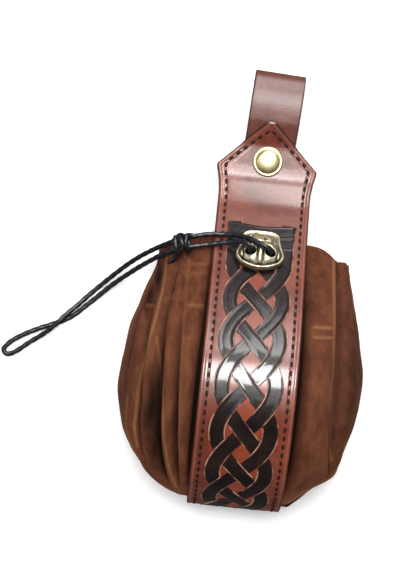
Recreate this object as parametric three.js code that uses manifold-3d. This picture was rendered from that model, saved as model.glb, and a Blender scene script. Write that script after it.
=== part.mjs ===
// Medieval belt pouch of suede and tooled leather, lying on its back
// X runs across the pouch, Y up it to its belt loop and Z out of its front
// The origin is the middle of the back band's outer face, and all sizes are in millimetres
import * as THREE from 'three';
import { mergeVertices } from 'three/addons/utils/BufferGeometryUtils.js';
import Module from 'manifold-3d';

const wasm = await Module();
wasm.setup();

// Whole pouch: rises are measured up from its bottom, lifts from the face that it lies on
const ORIGIN_RISE = 100;
const BELLY_RISE = 61.5;
const BELLY_LIFT = 78.4;
const NECK_RISE = 180;
const HEAD_RISE = 210;

// Cover band
const BAND_WIDTH = 50;
const BAND_THICK = 3;
const HEAD_WIDTH = 55.5;
const SHOULDER_DROP = 25;
const HEAD_NARROWING = 17;
const TIP_WIDTH = 4;
const TIP_TILT = 21;

// Suede bag
const LEFT_REACH = 68.5;
const RIGHT_REACH = 62.5;
const RIM_RISE = 147;
const SUEDE = 1.5;
const PLEAT_DEPTH = 10;
const PLEAT_SHARPNESS = 0.6;
const PLEAT_CLOSE = 0.14;
const RIM_CREST = 0.02;
const BAND_TUCK = 1;
const EDGE_LIMIT = 0.92;
const SHED_WIDTH = 9;
const FLOOR_GAP = 0.4;
const FRONT_ROUND = 0.86;
const BACK_ROUND = 0.55;
const MIDDLE_SHARE = 0.46;

// Belt loop
const LOOP_WIDTH = 28;
const LOOP_THICK = 2.2;
const LOOP_RISE = 238.4;
const LOOP_OPENING = 11;
const LOOP_TONGUE = 12;
const LOOP_LEAN = 3;
const LOOP_SAG = 2.7;

// Rivet
const RIVET_RISE = 188.5;
const CAP_WIDTH = 16.5;
const CAP_DOME = 3.6;
const CAP_LIP = 0.6;
const POST_WIDTH = 4;
const PLATE_WIDTH = 11;
const PLATE_THICK = 1;

// Cord bead, placed by the row of its two cord holes
const HOLE_RISE = 134;
const BEAD_WIDTH = 26;
const BEAD_HEIGHT = 25;
const BEAD_THICK = 9;
const BEAD_CROWN = 2.5;
const RIB_WIDTH = 2.4;
const RIB_LENGTH = 9;
const RIB_DEPTH = 4.5;
const CORD_SPACING = 10.6;

// Drawstring
const CORD = 2.8;
const GATHER_DROP = 13;
const GATHER_INSET = 5;
const KNOT_LENGTH = 15;
const KNOT_WIDTH = 11;
const KNOT_THICK = 7.5;

// Clearances
const GAP = 0.3;
const CORD_GAP = 0.45;
const BEAD_GAP = 0.6;
const BAND_GAP = 0.4;

// Mesh fineness
const CURVE_STEPS = 52;
const PLEAT_STEPS = 5;
const FLAT_STEPS = 6;
const LOOP_STEPS = 22;
const BEAD_SIDES = 30;
const GATHER_SIDES = 6;
const GATHER_STEPS = 70;
const TAIL_SIDES = 8;
const TAIL_STEPS = 80;

const HEAD_STACK = 2 * BAND_THICK + 2 * LOOP_THICK + 3 * GAP;

// Front of the band above the belly: rise as a share from belly to neck, lift from head stack to belly
const FRONT_ARCH = [
  { rise: 1.0, lift: 0.0 },
  { rise: 0.932, lift: 0.048 },
  { rise: 0.873, lift: 0.106 },
  { rise: 0.823, lift: 0.168 },
  { rise: 0.722, lift: 0.288 },
  { rise: 0.612, lift: 0.425 },
  { rise: 0.435, lift: 0.669 },
  { rise: 0.243, lift: 0.888 },
  { rise: 0.114, lift: 0.973 },
  { rise: 0.0, lift: 1.0 },
];

// Band below the belly and round the bottom: rise and lift as shares of the belly's own
const BOTTOM_TURN = [
  { rise: 0.813, lift: 0.987 },
  { rise: 0.663, lift: 0.949 },
  { rise: 0.455, lift: 0.867 },
  { rise: 0.306, lift: 0.774 },
  { rise: 0.143, lift: 0.612 },
  { rise: 0.041, lift: 0.459 },
  { rise: 0.0, lift: 0.332 },
  { rise: 0.041, lift: 0.179 },
  { rise: 0.146, lift: 0.057 },
  { rise: 0.325, lift: 0.0 },
];

// Outline of the bag: rise as a share of the rim, reach of each side as a share of its widest
const BAG_OUTLINE = [
  { rise: 0.02, left: 0.4, right: 0.43 },
  { rise: 0.041, left: 0.525, right: 0.5 },
  { rise: 0.07, left: 0.637, right: 0.575 },
  { rise: 0.108, left: 0.733, right: 0.685 },
  { rise: 0.156, left: 0.814, right: 0.83 },
  { rise: 0.204, left: 0.877, right: 0.875 },
  { rise: 0.262, left: 0.932, right: 0.91 },
  { rise: 0.328, left: 0.974, right: 0.952 },
  { rise: 0.412, left: 1.0, right: 0.987 },
  { rise: 0.498, left: 0.996, right: 1.0 },
  { rise: 0.576, left: 0.974, right: 0.978 },
  { rise: 0.654, left: 0.946, right: 0.942 },
  { rise: 0.733, left: 0.898, right: 0.903 },
  { rise: 0.803, left: 0.85, right: 0.868 },
  { rise: 0.873, left: 0.81, right: 0.835 },
  { rise: 1.0, left: 0.78, right: 0.8 },
];

// Valleys between the pleats, round the bag from the band's front right edge
// place: share from the band's edge to the side, at the rim, belly and base
// depth: share of the pleat depth
// top: rim height at the valley as a share of the whole rim
const VALLEYS = [
  { side: 1, face: 1, rim: 0, belly: 0, base: 0, depth: [0.2, 0.5, 0.45, 0.2], top: 0.985 },
  { side: 1, face: 1, rim: 0.62, belly: 0.53, base: 0.79, depth: [1, 0.6, 0.65, 0.1], top: 0.945 },
  { side: 1, face: 1, rim: 0.97, belly: 0.965, base: 0.98, depth: [0.95, 0.5, 0.3, 0.1], top: 0.925 },
  { side: 1, face: -1, rim: 0.84, belly: 0.88, base: 0.9, depth: [0.95, 0.6, 0.5, 0.15], top: 0.93 },
  { side: 1, face: -1, rim: 0.42, belly: 0.5, base: 0.5, depth: [1, 0.5, 0.35, 0.1], top: 0.94 },
  { side: 1, face: -1, rim: 0, belly: 0, base: 0, depth: [0.2, 0.15, 0.1, 0.05], top: 0.955 },
  { side: -1, face: -1, rim: 0, belly: 0, base: 0, depth: [0.2, 0.15, 0.1, 0.05], top: 0.955 },
  { side: -1, face: -1, rim: 0.38, belly: 0.42, base: 0.45, depth: [1, 0.5, 0.35, 0.1], top: 0.945 },
  { side: -1, face: -1, rim: 0.75, belly: 0.78, base: 0.8, depth: [0.95, 0.55, 0.4, 0.15], top: 0.935 },
  { side: -1, face: -1, rim: 0.985, belly: 0.99, base: 0.99, depth: [0.95, 0.6, 0.5, 0.1], top: 0.93 },
  { side: -1, face: 1, rim: 0.8, belly: 0.7, base: 0.88, depth: [1, 0.85, 0.7, 0.15], top: 0.94 },
  { side: -1, face: 1, rim: 0.62, belly: 0.53, base: 0.55, depth: [0, 0.25, 1, 0.3], top: 0.965 },
  { side: -1, face: 1, rim: 0.43, belly: 0.295, base: 0.3, depth: [1, 0.75, 0.8, 0.3], top: 0.96 },
  { side: -1, face: 1, rim: 0, belly: 0, base: 0, depth: [0.2, 0.5, 0.45, 0.2], top: 0.985 },
];
const DEPTH_AT = [1, 0.75, 0.42, 0.05];
const PLACE_AT = [1, 0.42, 0.1];

// Rows of the bag's mesh as shares of the rim, from the closed bottom up
const BAG_ROWS = [
  0.03, 0.037, 0.052, 0.076, 0.11, 0.155, 0.21, 0.28, 0.36, 0.44, 0.53, 0.62, 0.7, 0.78, 0.85, 0.91, 0.96, 1,
];

// Right half of the bead's outline, from its top: across as a share of half its width,
// up from its holes as a share of its height
const BEAD_OUTLINE = [
  { across: 0, up: 0.65 },
  { across: 0.3, up: 0.645 },
  { across: 0.56, up: 0.622 },
  { across: 0.73, up: 0.56 },
  { across: 0.79, up: 0.46 },
  { across: 0.82, up: 0.34 },
  { across: 0.87, up: 0.23 },
  { across: 0.95, up: 0.12 },
  { across: 1.0, up: 0.0 },
  { across: 0.97, up: -0.09 },
  { across: 0.86, up: -0.18 },
  { across: 0.64, up: -0.27 },
  { across: 0.34, up: -0.33 },
  { across: 0, up: -0.35 },
];

// Bead section from its edge to its crown: share of the way out and of its thickness
const BEAD_PROFILE = [
  { out: 0.9, up: 0.0 },
  { out: 1.0, up: 0.2 },
  { out: 1.0, up: 0.42 },
  { out: 0.93, up: 0.56 },
  { out: 0.85, up: 0.52 },
  { out: 0.76, up: 0.66 },
  { out: 0.52, up: 0.86 },
  { out: 0.26, up: 0.97 },
];

// Smooth value of one column of a table, along another of its columns
function column(table, along, name) {
  const rows = [...table].sort((a, b) => a[along] - b[along]);
  const at = rows.map((row) => row[along]);
  const value = rows.map((row) => row[name]);
  const last = rows.length - 1;
  const slope = rows.map((row, i) => {
    const a = Math.max(i - 1, 0);
    const b = Math.min(i + 1, last);
    return (value[b] - value[a]) / (at[b] - at[a]);
  });
  return (x) => {
    const t = Math.min(Math.max(x, at[0]), at[last]);
    let i = 0;
    while (i < last - 1 && t > at[i + 1]) i += 1;
    const span = at[i + 1] - at[i];
    const u = (t - at[i]) / span;
    const rise = (2 * u - 3) * u * u;
    return value[i] * (1 + rise) - value[i + 1] * rise
      + slope[i] * span * u * (1 - u) * (1 - u) - slope[i + 1] * span * u * u * (1 - u);
  };
}

// Values of a short list, given at the shares named in another list
function between(shares, values) {
  return column(shares.map((share, i) => ({ share, value: values[i] })), 'share', 'value');
}

// Mesh with a name, a colour and a finish
function piece(name, geometry, color, roughness, metalness) {
  const material = new THREE.MeshStandardMaterial({ color, roughness, metalness, flatShading: true });
  const mesh = new THREE.Mesh(geometry, material);
  mesh.name = name;
  return mesh;
}

// Closed geometry made into a solid that can be cut or joined
function solid(geometry) {
  const bare = geometry.clone();
  bare.deleteAttribute('normal');
  bare.deleteAttribute('uv');
  const merged = mergeVertices(bare, 1e-4);
  return new wasm.Manifold(new wasm.Mesh({
    numProp: 3,
    vertProperties: new Float32Array(merged.attributes.position.array),
    triVerts: new Uint32Array(merged.index.array),
  }));
}

// Largest body of a cut solid, without the crumbs of the cut
function largest(body) {
  return body.decompose().sort((a, b) => b.volume() - a.volume())[0];
}

// Solid made back into a geometry
function geometryOf(body) {
  const mesh = body.getMesh();
  const geometry = new THREE.BufferGeometry();
  geometry.setAttribute('position', new THREE.BufferAttribute(new Float32Array(mesh.vertProperties), 3));
  geometry.setIndex(new THREE.BufferAttribute(new Uint32Array(mesh.triVerts), 1));
  return geometry;
}

// Geometry from points and triangles, with its faces turned out
function closedGeometry(points, triangles) {
  let volume = 0;
  for (const [a, b, c] of triangles) {
    volume += points[a].dot(new THREE.Vector3().crossVectors(points[b], points[c]));
  }
  const faces = volume > 0 ? triangles : triangles.map(([a, b, c]) => [a, c, b]);
  const geometry = new THREE.BufferGeometry();
  geometry.setAttribute('position', new THREE.Float32BufferAttribute(points.flatMap((p) => p.toArray()), 3));
  geometry.setIndex(faces.flat());
  return geometry;
}

// Round tube along a smooth curve
function tube(curve, width, sides, steps) {
  const section = new THREE.Shape();
  for (let i = 0; i < sides; i += 1) {
    const angle = (i / sides) * Math.PI * 2;
    const x = (width / 2) * Math.cos(angle);
    const y = (width / 2) * Math.sin(angle);
    if (i === 0) section.moveTo(x, y);
    else section.lineTo(x, y);
  }
  section.closePath();
  return new THREE.ExtrudeGeometry(section, { steps, bevelEnabled: false, extrudePath: curve });
}

// Smooth curve through points
function smooth(points) {
  return new THREE.CatmullRomCurve3(points, false, 'centripetal');
}

// Point of the side view, from its rise and its lift
function sidePoint(rise, lift) {
  return new THREE.Vector3(0, rise - ORIGIN_RISE, lift);
}

// Outward normals of a path in the side view, which runs down the front and up the back
function pathNormals(path) {
  return path.map((point, i) => {
    const before = path[Math.max(i - 1, 0)];
    const after = path[Math.min(i + 1, path.length - 1)];
    const run = new THREE.Vector3().subVectors(after, before).normalize();
    return new THREE.Vector3(0, -run.z, run.y).negate();
  });
}

// Outer face of the cover band, from the front tip under the bottom to the back tip
function bandPath() {
  const capEdge = RIVET_RISE + CAP_WIDTH / 2;
  const tipLift = HEAD_STACK + (HEAD_RISE - capEdge) * Math.tan(THREE.MathUtils.degToRad(TIP_TILT));
  const shoulder = HEAD_RISE - SHOULDER_DROP;
  const neck = shoulder - HEAD_NARROWING;
  const arch = FRONT_ARCH.map((row) => sidePoint(
    BELLY_RISE + (NECK_RISE - BELLY_RISE) * row.rise,
    HEAD_STACK + (BELLY_LIFT - HEAD_STACK) * row.lift,
  ));
  const turn = BOTTOM_TURN.map((row) => sidePoint(BELLY_RISE * row.rise, BELLY_LIFT * row.lift));
  return [
    sidePoint(HEAD_RISE, tipLift),
    sidePoint((HEAD_RISE + capEdge) / 2, (HEAD_STACK + tipLift) / 2),
    sidePoint(capEdge, HEAD_STACK),
    sidePoint(shoulder, HEAD_STACK),
    ...smooth([...arch, ...turn]).getSpacedPoints(CURVE_STEPS),
    sidePoint(ORIGIN_RISE, 0),
    sidePoint(neck, 0),
    sidePoint(shoulder, 0),
    sidePoint(HEAD_RISE, 0),
  ];
}

const BAND_PATH = bandPath();
const BAND_NORMALS = pathNormals(BAND_PATH);

// Path moved in from the band's outer face by a depth
function bandInset(depth) {
  return BAND_PATH.map((point, i) => point.clone().addScaledVector(BAND_NORMALS[i], -depth));
}

// Width of the band's heads and of the stretch between them, by rise
function bandHalfWidth(rise) {
  const shoulder = HEAD_RISE - SHOULDER_DROP;
  const neck = shoulder - HEAD_NARROWING;
  if (rise >= shoulder) {
    const share = (HEAD_RISE - rise) / SHOULDER_DROP;
    return (TIP_WIDTH + (HEAD_WIDTH - TIP_WIDTH) * share) / 2;
  }
  if (rise > neck) {
    const share = (rise - neck) / HEAD_NARROWING;
    return (BAND_WIDTH + (HEAD_WIDTH - BAND_WIDTH) * share * share) / 2;
  }
  return BAND_WIDTH / 2;
}

// Leather strip between two paths in the side view, with half its width given by rise
function strip(outer, inner, halfWidth) {
  const points = [];
  const triangles = [];
  outer.forEach((point, i) => {
    const half = halfWidth(point.y + ORIGIN_RISE);
    points.push(new THREE.Vector3(-half, point.y, point.z));
    points.push(new THREE.Vector3(half, point.y, point.z));
    points.push(new THREE.Vector3(half, inner[i].y, inner[i].z));
    points.push(new THREE.Vector3(-half, inner[i].y, inner[i].z));
  });
  for (let i = 0; i < outer.length - 1; i += 1) {
    for (let k = 0; k < 4; k += 1) {
      const a = 4 * i + k;
      const b = 4 * i + ((k + 1) % 4);
      triangles.push([a, b, b + 4], [a, b + 4, a + 4]);
    }
  }
  const end = 4 * (outer.length - 1);
  triangles.push([0, 2, 1], [0, 3, 2], [end, end + 1, end + 2], [end, end + 2, end + 3]);
  return closedGeometry(points, triangles);
}

// Place on the band's front at a rise: its outer point, outward normal and direction up the band
function bandFront(rise) {
  const y = rise - ORIGIN_RISE;
  const i = BAND_PATH.findIndex((point, k) => k > 0 && point.y <= y) - 1;
  const high = BAND_PATH[i];
  const low = BAND_PATH[i + 1];
  const point = new THREE.Vector3().lerpVectors(high, low, (high.y - y) / (high.y - low.y));
  const up = new THREE.Vector3().subVectors(high, low).normalize();
  const out = new THREE.Vector3(0, -up.z, up.y);
  return { point, out, up };
}

// Straight rod between two points
function rod(from, to, width, sides) {
  const length = from.distanceTo(to);
  const geometry = new THREE.CylinderGeometry(width / 2, width / 2, length, sides);
  const turn = new THREE.Quaternion().setFromUnitVectors(
    new THREE.Vector3(0, 1, 0),
    new THREE.Vector3().subVectors(to, from).normalize(),
  );
  geometry.applyQuaternion(turn);
  geometry.translate((from.x + to.x) / 2, (from.y + to.y) / 2, (from.z + to.z) / 2);
  return geometry;
}

const BEAD_SEAT = bandFront(HOLE_RISE);

// Point from the middle of the bead's holes: across, up the band, and out of its face
function atBead(across, up, out) {
  return BEAD_SEAT.point.clone()
    .add(new THREE.Vector3(across, 0, 0))
    .addScaledVector(BEAD_SEAT.up, up)
    .addScaledVector(BEAD_SEAT.out, out);
}

// Rods that make the two cord holes through bead, band and suede
function cordHoles(depth) {
  return [-1, 1].map((side) => rod(
    atBead(side * CORD_SPACING / 2, 0, -depth),
    atBead(side * CORD_SPACING / 2, 0, BEAD_THICK + depth),
    CORD + 2 * CORD_GAP,
    12,
  ));
}

// Leather band that carries the bag
function coverBand() {
  const y = RIVET_RISE - ORIGIN_RISE;
  const post = rod(
    new THREE.Vector3(0, y, -BAND_THICK),
    new THREE.Vector3(0, y, HEAD_STACK + BAND_THICK),
    POST_WIDTH + 2 * GAP,
    16,
  );
  const plate = rod(
    new THREE.Vector3(0, y, -BAND_THICK),
    new THREE.Vector3(0, y, PLATE_THICK + 2 * GAP),
    PLATE_WIDTH + 2 * GAP,
    24,
  );
  let band = solid(strip(BAND_PATH, bandInset(BAND_THICK), bandHalfWidth));
  band = band.subtract(solid(post)).subtract(solid(plate));
  for (const hole of cordHoles(2 * BAND_THICK)) band = band.subtract(solid(hole));
  return piece('cover_band', geometryOf(band), 0x6e3a2b, 0.45, 0);
}

// Lift of a path at a rise, on its front or its back branch
function branchLift(path, front) {
  const lowest = path.reduce((best, point, i) => (point.y < path[best].y ? i : best), 0);
  const branch = front ? path.slice(0, lowest + 1).reverse() : path.slice(lowest);
  return (rise) => {
    const y = rise - ORIGIN_RISE;
    if (y <= branch[0].y) return branch[0].z;
    const i = branch.findIndex((point) => point.y > y);
    if (i < 0) return branch[branch.length - 1].z;
    const low = branch[i - 1];
    const high = branch[i];
    return low.z + (high.z - low.z) * (y - low.y) / (high.y - low.y);
  };
}

const SUEDE_PATH = bandInset(BAND_THICK + BAND_GAP);
const frontLift = branchLift(SUEDE_PATH, true);
const backLift = branchLift(SUEDE_PATH, false);
const leftReach = column(BAG_OUTLINE, 'rise', 'left');
const rightReach = column(BAG_OUTLINE, 'rise', 'right');

// Angle round a side of the bag, from the band's front edge to its back edge, for a place on that side
function placeAngle(place, face) {
  const round = face > 0 ? FRONT_ROUND : BACK_ROUND;
  return face * Math.acos(Math.min(place ** (1 / round), 1));
}

// Point of the bag's smooth envelope on one side of the band, or of a copy of it inside the bag
function envelope(side, angle, rise, inset = 0) {
  const share = rise / RIM_RISE;
  const reach = (side > 0 ? RIGHT_REACH * rightReach(share) : LEFT_REACH * leftReach(share)) - inset;
  const half = BAND_WIDTH / 2 + (angle > 0 ? -BAND_TUCK : 2 * BAND_TUCK);
  const edge = Math.min(half, EDGE_LIMIT * reach);
  const round = angle > 0 ? FRONT_ROUND : BACK_ROUND;
  const x = edge + (reach - edge) * Math.cos(angle) ** round;
  const front = frontLift(rise) - inset;
  const bandBack = backLift(rise);
  const shed = THREE.MathUtils.smoothstep(x, edge, edge + SHED_WIDTH);
  const floor = Math.max(bandBack - BAND_THICK - BAND_GAP, 0) + FLOOR_GAP;
  const back = bandBack + (floor - bandBack) * shed + inset;
  const middle = back + (front - back) * MIDDLE_SHARE;
  const swing = Math.abs(Math.sin(angle)) ** round;
  const lift = angle > 0 ? middle + (front - middle) * swing : middle - (middle - back) * swing;
  return new THREE.Vector3(side * x, rise - ORIGIN_RISE, lift);
}

// Columns of the bag: pleat by pleat, each with its place between two valleys
function bagColumns() {
  const columns = [];
  VALLEYS.forEach((from, i) => {
    const to = VALLEYS[(i + 1) % VALLEYS.length];
    const flat = from.side !== to.side;
    const steps = flat ? FLAT_STEPS : PLEAT_STEPS;
    for (let k = 0; k < steps; k += 1) columns.push({ from, to, flat, share: k / steps });
  });
  return columns;
}

const BAG_COLUMNS = bagColumns();

// Angle of a valley at a share of the rim's height
function valleyAngle(valley, share) {
  return placeAngle(between(PLACE_AT, [valley.rim, valley.belly, valley.base])(share), valley.face);
}

// Height of the rim over a column, higher on the pleats than in the valleys
function rimRise(spot) {
  const valley = spot.from.top + (spot.to.top - spot.from.top) * spot.share;
  const crest = spot.flat ? 0 : RIM_CREST * Math.sin(Math.PI * spot.share);
  return RIM_RISE * Math.min(valley + crest, 1);
}

// Point of the envelope at a column
function columnPoint(spot, share) {
  const rise = rimRise(spot) * share;
  const start = envelope(spot.from.side, valleyAngle(spot.from, share), rise);
  const end = envelope(spot.to.side, valleyAngle(spot.to, share), rise);
  if (spot.flat) return start.lerp(end, spot.share);
  const a = valleyAngle(spot.from, share);
  const b = valleyAngle(spot.to, share);
  return envelope(spot.from.side, a + (b - a) * spot.share, rise);
}

// Depth of the pleats at a column, none on a pleat's crest
function pleatDepth(spot, share) {
  const closing = THREE.MathUtils.smoothstep(share, BAG_ROWS[0], PLEAT_CLOSE);
  const a = closing * between(DEPTH_AT, spot.from.depth)(share);
  const b = closing * between(DEPTH_AT, spot.to.depth)(share);
  if (spot.flat) {
    const edge = Math.min(spot.share, 1 - spot.share) * FLAT_STEPS;
    return PLEAT_DEPTH * a * Math.max(1 - edge, 0);
  }
  const fold = 1 - Math.sin(Math.PI * spot.share) ** PLEAT_SHARPNESS;
  return PLEAT_DEPTH * (a + (b - a) * spot.share) * fold;
}

// One row of the bag's outer face
function bagRow(share) {
  const ring = BAG_COLUMNS.map((spot) => columnPoint(spot, share));
  return ring.map((point, i) => {
    const before = ring[(i + ring.length - 1) % ring.length];
    const after = ring[(i + 1) % ring.length];
    const inward = new THREE.Vector3(before.z - after.z, 0, after.x - before.x).normalize().negate();
    return point.clone().addScaledVector(inward, pleatDepth(BAG_COLUMNS[i], share));
  });
}

// Bag wall: outer rows and cap, then the same moved in by the suede's thickness
function bagShell() {
  const outer = BAG_ROWS.flatMap((share) => bagRow(share));
  const count = BAG_COLUMNS.length;
  const top = (BAG_ROWS.length - 1) * count;
  const bottom = new THREE.Vector3();
  outer.slice(0, count).forEach((p) => bottom.addScaledVector(p, 1 / count));
  bottom.y = -ORIGIN_RISE + BAND_THICK + BAND_GAP;
  outer.push(bottom);
  const faces = [];
  for (let j = 0; j < BAG_ROWS.length - 1; j += 1) {
    for (let i = 0; i < count; i += 1) {
      const a = j * count + i;
      const b = j * count + ((i + 1) % count);
      faces.push([a, b, b + count], [a, b + count, a + count]);
    }
  }
  for (let i = 0; i < count; i += 1) faces.push([(i + 1) % count, i, outer.length - 1]);
  const normals = outer.map(() => new THREE.Vector3());
  for (const face of faces) {
    const [a, b, c] = face.map((k) => outer[k]);
    const normal = new THREE.Vector3().subVectors(b, a).cross(new THREE.Vector3().subVectors(c, a));
    face.forEach((k) => normals[k].add(normal));
  }
  const sign = normals[outer.length - 1].y > 0 ? 1 : -1;
  const inner = outer.map((p, k) => p.clone().addScaledVector(normals[k].normalize(), sign * SUEDE));
  const shift = outer.length;
  const triangles = [...faces, ...faces.map(([a, b, c]) => [a + shift, c + shift, b + shift])];
  for (let i = 0; i < count; i += 1) {
    const a = top + i;
    const b = top + ((i + 1) % count);
    triangles.push([a, b, b + shift], [a, b + shift, a + shift]);
  }
  return closedGeometry([...outer, ...inner], triangles);
}

// Gather line down one side of the mouth: angle in degrees, rise as a share of its highest, inset as a share
const GATHER_LINE = [
  { angle: 90, rise: 1.0, inset: 1.45 },
  { angle: 58, rise: 0.992, inset: 1.15 },
  { angle: 30, rise: 0.982, inset: 1.0 },
  { angle: 4, rise: 0.975, inset: 1.0 },
  { angle: -16, rise: 0.972, inset: 1.0 },
  { angle: -38, rise: 0.974, inset: 1.05 },
  { angle: -62, rise: 0.98, inset: 1.2 },
  { angle: -88, rise: 0.985, inset: 1.4 },
];

// Held stretch of the drawstring: out of one bead hole, round the mouth and back to the other
function gatherCurve() {
  const reach = CORD_SPACING / 2;
  const inner = BAND_THICK + BAND_GAP + GATHER_LINE[0].inset * GATHER_INSET;
  const exit = (side) => [
    atBead(side * reach, 0, BEAD_THICK / 2),
    atBead(side * reach, 0, 0),
    atBead(side * (reach + 0.1 * CORD), 0, CORD - inner),
    atBead(side * (reach + 1.6 * CORD), 0, -inner),
  ];
  const down = (side) => GATHER_LINE.map((row) => envelope(
    side,
    THREE.MathUtils.degToRad(row.angle),
    (RIM_RISE - GATHER_DROP) * row.rise,
    GATHER_INSET * row.inset,
  ));
  return smooth([...exit(1), ...down(1), ...down(-1).reverse(), ...exit(-1).reverse()]);
}

// Drawstring held by the bag
function drawstringGather() {
  return piece('drawstring_gather', tube(gatherCurve(), CORD, GATHER_SIDES, GATHER_STEPS), 0x23232b, 0.5, 0);
}

// Suede bag with its holes for the drawstring
function suedeBag() {
  const bore = tube(gatherCurve(), CORD + 2 * CORD_GAP, GATHER_SIDES, GATHER_STEPS);
  const bag = largest(solid(bagShell()).subtract(solid(bore)));
  return piece('suede_bag', geometryOf(bag), 0x6a432f, 0.95, 0);
}

// Top of the belt loop: drop from its top in bends, and lift as a share of the loop's depth
const LOOP_FOLD = [
  { drop: 1, lift: 0.94 },
  { drop: 0.3, lift: 0.75 },
  { drop: 0, lift: 0.48 },
  { drop: 0.4, lift: 0.2 },
  { drop: 1.2, lift: 0.04 },
];

// Strap folded over for the belt, with its outer face along a path in the side view
function beltLoop() {
  const capEdge = RIVET_RISE + CAP_WIDTH / 2;
  const frontFace = HEAD_STACK - BAND_THICK - GAP;
  const backFace = BAND_THICK + GAP;
  const lean = THREE.MathUtils.degToRad(LOOP_LEAN);
  const bendRise = capEdge + (LOOP_WIDTH / 2) * Math.sin(lean) + GAP;
  const tilt = Math.tan(THREE.MathUtils.degToRad(TIP_TILT));
  const tipFace = frontFace + (HEAD_RISE - capEdge) * tilt - 2 * GAP;
  const depth = LOOP_OPENING + 2 * LOOP_THICK;
  const low = tipFace + 2 * GAP - depth;
  const bend = depth / 2;
  const fold = smooth([
    sidePoint(HEAD_RISE, tipFace),
    sidePoint(HEAD_RISE + 2 * bend, low + depth),
    ...LOOP_FOLD.map((row) => sidePoint(LOOP_RISE - row.drop * bend, low + row.lift * depth)),
    sidePoint(HEAD_RISE + 2 * bend, backFace - LOOP_SAG),
    sidePoint(HEAD_RISE, backFace),
  ]).getSpacedPoints(LOOP_STEPS);
  const path = [
    sidePoint(RIVET_RISE - LOOP_TONGUE, frontFace),
    sidePoint(bendRise, frontFace),
    ...fold,
    sidePoint(HEAD_RISE - LOOP_THICK, backFace),
    sidePoint(RIVET_RISE - LOOP_TONGUE, backFace),
  ];
  const normals = pathNormals(path);
  const inner = path.map((point, i) => point.clone().addScaledVector(normals[i], LOOP_THICK));
  const y = RIVET_RISE - ORIGIN_RISE;
  const post = rod(
    new THREE.Vector3(0, y, 0),
    new THREE.Vector3(0, y, HEAD_STACK),
    POST_WIDTH + 2 * GAP,
    16,
  );
  const geometry = geometryOf(solid(strip(path, inner, () => LOOP_WIDTH / 2)).subtract(solid(post)));
  geometry.translate(0, -y, 0);
  geometry.rotateZ(-lean);
  geometry.translate(0, y, 0);
  return piece('belt_loop', geometry, 0x7a4d3e, 0.4, 0);
}

// Rivet through heads and loop: sunk back plate, post and domed cap
function snapRivet() {
  const seat = HEAD_STACK + GAP;
  const profile = [
    [0, GAP], [PLATE_WIDTH / 2, GAP], [PLATE_WIDTH / 2, GAP + PLATE_THICK],
    [POST_WIDTH / 2, GAP + PLATE_THICK], [POST_WIDTH / 2, seat], [CAP_WIDTH / 2, seat],
  ].map(([r, z]) => new THREE.Vector2(r, z));
  for (let i = 0; i <= 5; i += 1) {
    const angle = (i / 5) * Math.PI / 2;
    const height = CAP_LIP + (CAP_DOME - CAP_LIP) * Math.sin(angle);
    profile.push(new THREE.Vector2((CAP_WIDTH / 2) * Math.cos(angle), seat + height));
  }
  profile[profile.length - 1].x = 0;
  const geometry = new THREE.LatheGeometry(profile, 28);
  geometry.rotateX(Math.PI / 2);
  geometry.translate(0, RIVET_RISE - ORIGIN_RISE, 0);
  return piece('snap_rivet', geometryOf(solid(geometry)), 0xc9a55c, 0.35, 1);
}

// Outline of the bead's face, closed round its left half, as points across and up
function beadOutline() {
  const left = BEAD_OUTLINE.slice(1, -1).reverse().map((row) => ({ across: -row.across, up: row.up }));
  const points = [...BEAD_OUTLINE, ...left].map((row) => new THREE.Vector3(
    (BEAD_WIDTH / 2) * row.across,
    BEAD_HEIGHT * row.up,
    0,
  ));
  const outline = new THREE.CatmullRomCurve3(points, true, 'centripetal');
  return outline.getSpacedPoints(BEAD_SIDES).slice(0, BEAD_SIDES);
}

// Shield-shaped bead with its raised rim and rib and two cord holes
function cordBead() {
  const outline = beadOutline();
  const points = BEAD_PROFILE.flatMap((row) => outline.map((edge) => atBead(
    row.out * edge.x,
    BEAD_CROWN + row.out * (edge.y - BEAD_CROWN),
    BEAD_GAP + (BEAD_THICK - BEAD_GAP) * row.up,
  )));
  const top = points.length;
  points.push(atBead(0, BEAD_CROWN, BEAD_THICK), atBead(0, BEAD_CROWN, BEAD_GAP));
  const triangles = [];
  for (let j = 0; j < BEAD_PROFILE.length - 1; j += 1) {
    for (let i = 0; i < BEAD_SIDES; i += 1) {
      const a = j * BEAD_SIDES + i;
      const b = j * BEAD_SIDES + ((i + 1) % BEAD_SIDES);
      triangles.push([a, b, b + BEAD_SIDES], [a, b + BEAD_SIDES, a + BEAD_SIDES]);
    }
  }
  for (let i = 0; i < BEAD_SIDES; i += 1) {
    const next = (i + 1) % BEAD_SIDES;
    const last = (BEAD_PROFILE.length - 1) * BEAD_SIDES;
    triangles.push([last + i, last + next, top], [next, i, top + 1]);
  }
  const ribGeometry = new THREE.BoxGeometry(RIB_WIDTH, RIB_LENGTH, RIB_DEPTH);
  const turn = new THREE.Matrix4().makeBasis(new THREE.Vector3(1, 0, 0), BEAD_SEAT.up, BEAD_SEAT.out);
  ribGeometry.applyMatrix4(turn);
  const ribPlace = atBead(0, BEAD_CROWN - RIB_LENGTH / 3, BEAD_THICK - RIB_DEPTH / 2);
  ribGeometry.translate(ribPlace.x, ribPlace.y, ribPlace.z);
  let bead = solid(closedGeometry(points, triangles)).add(solid(ribGeometry));
  for (const hole of cordHoles(2 * BAND_THICK)) bead = bead.subtract(solid(hole));
  return piece('cord_bead', geometryOf(bead), 0x8d8476, 0.4, 1);
}

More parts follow.
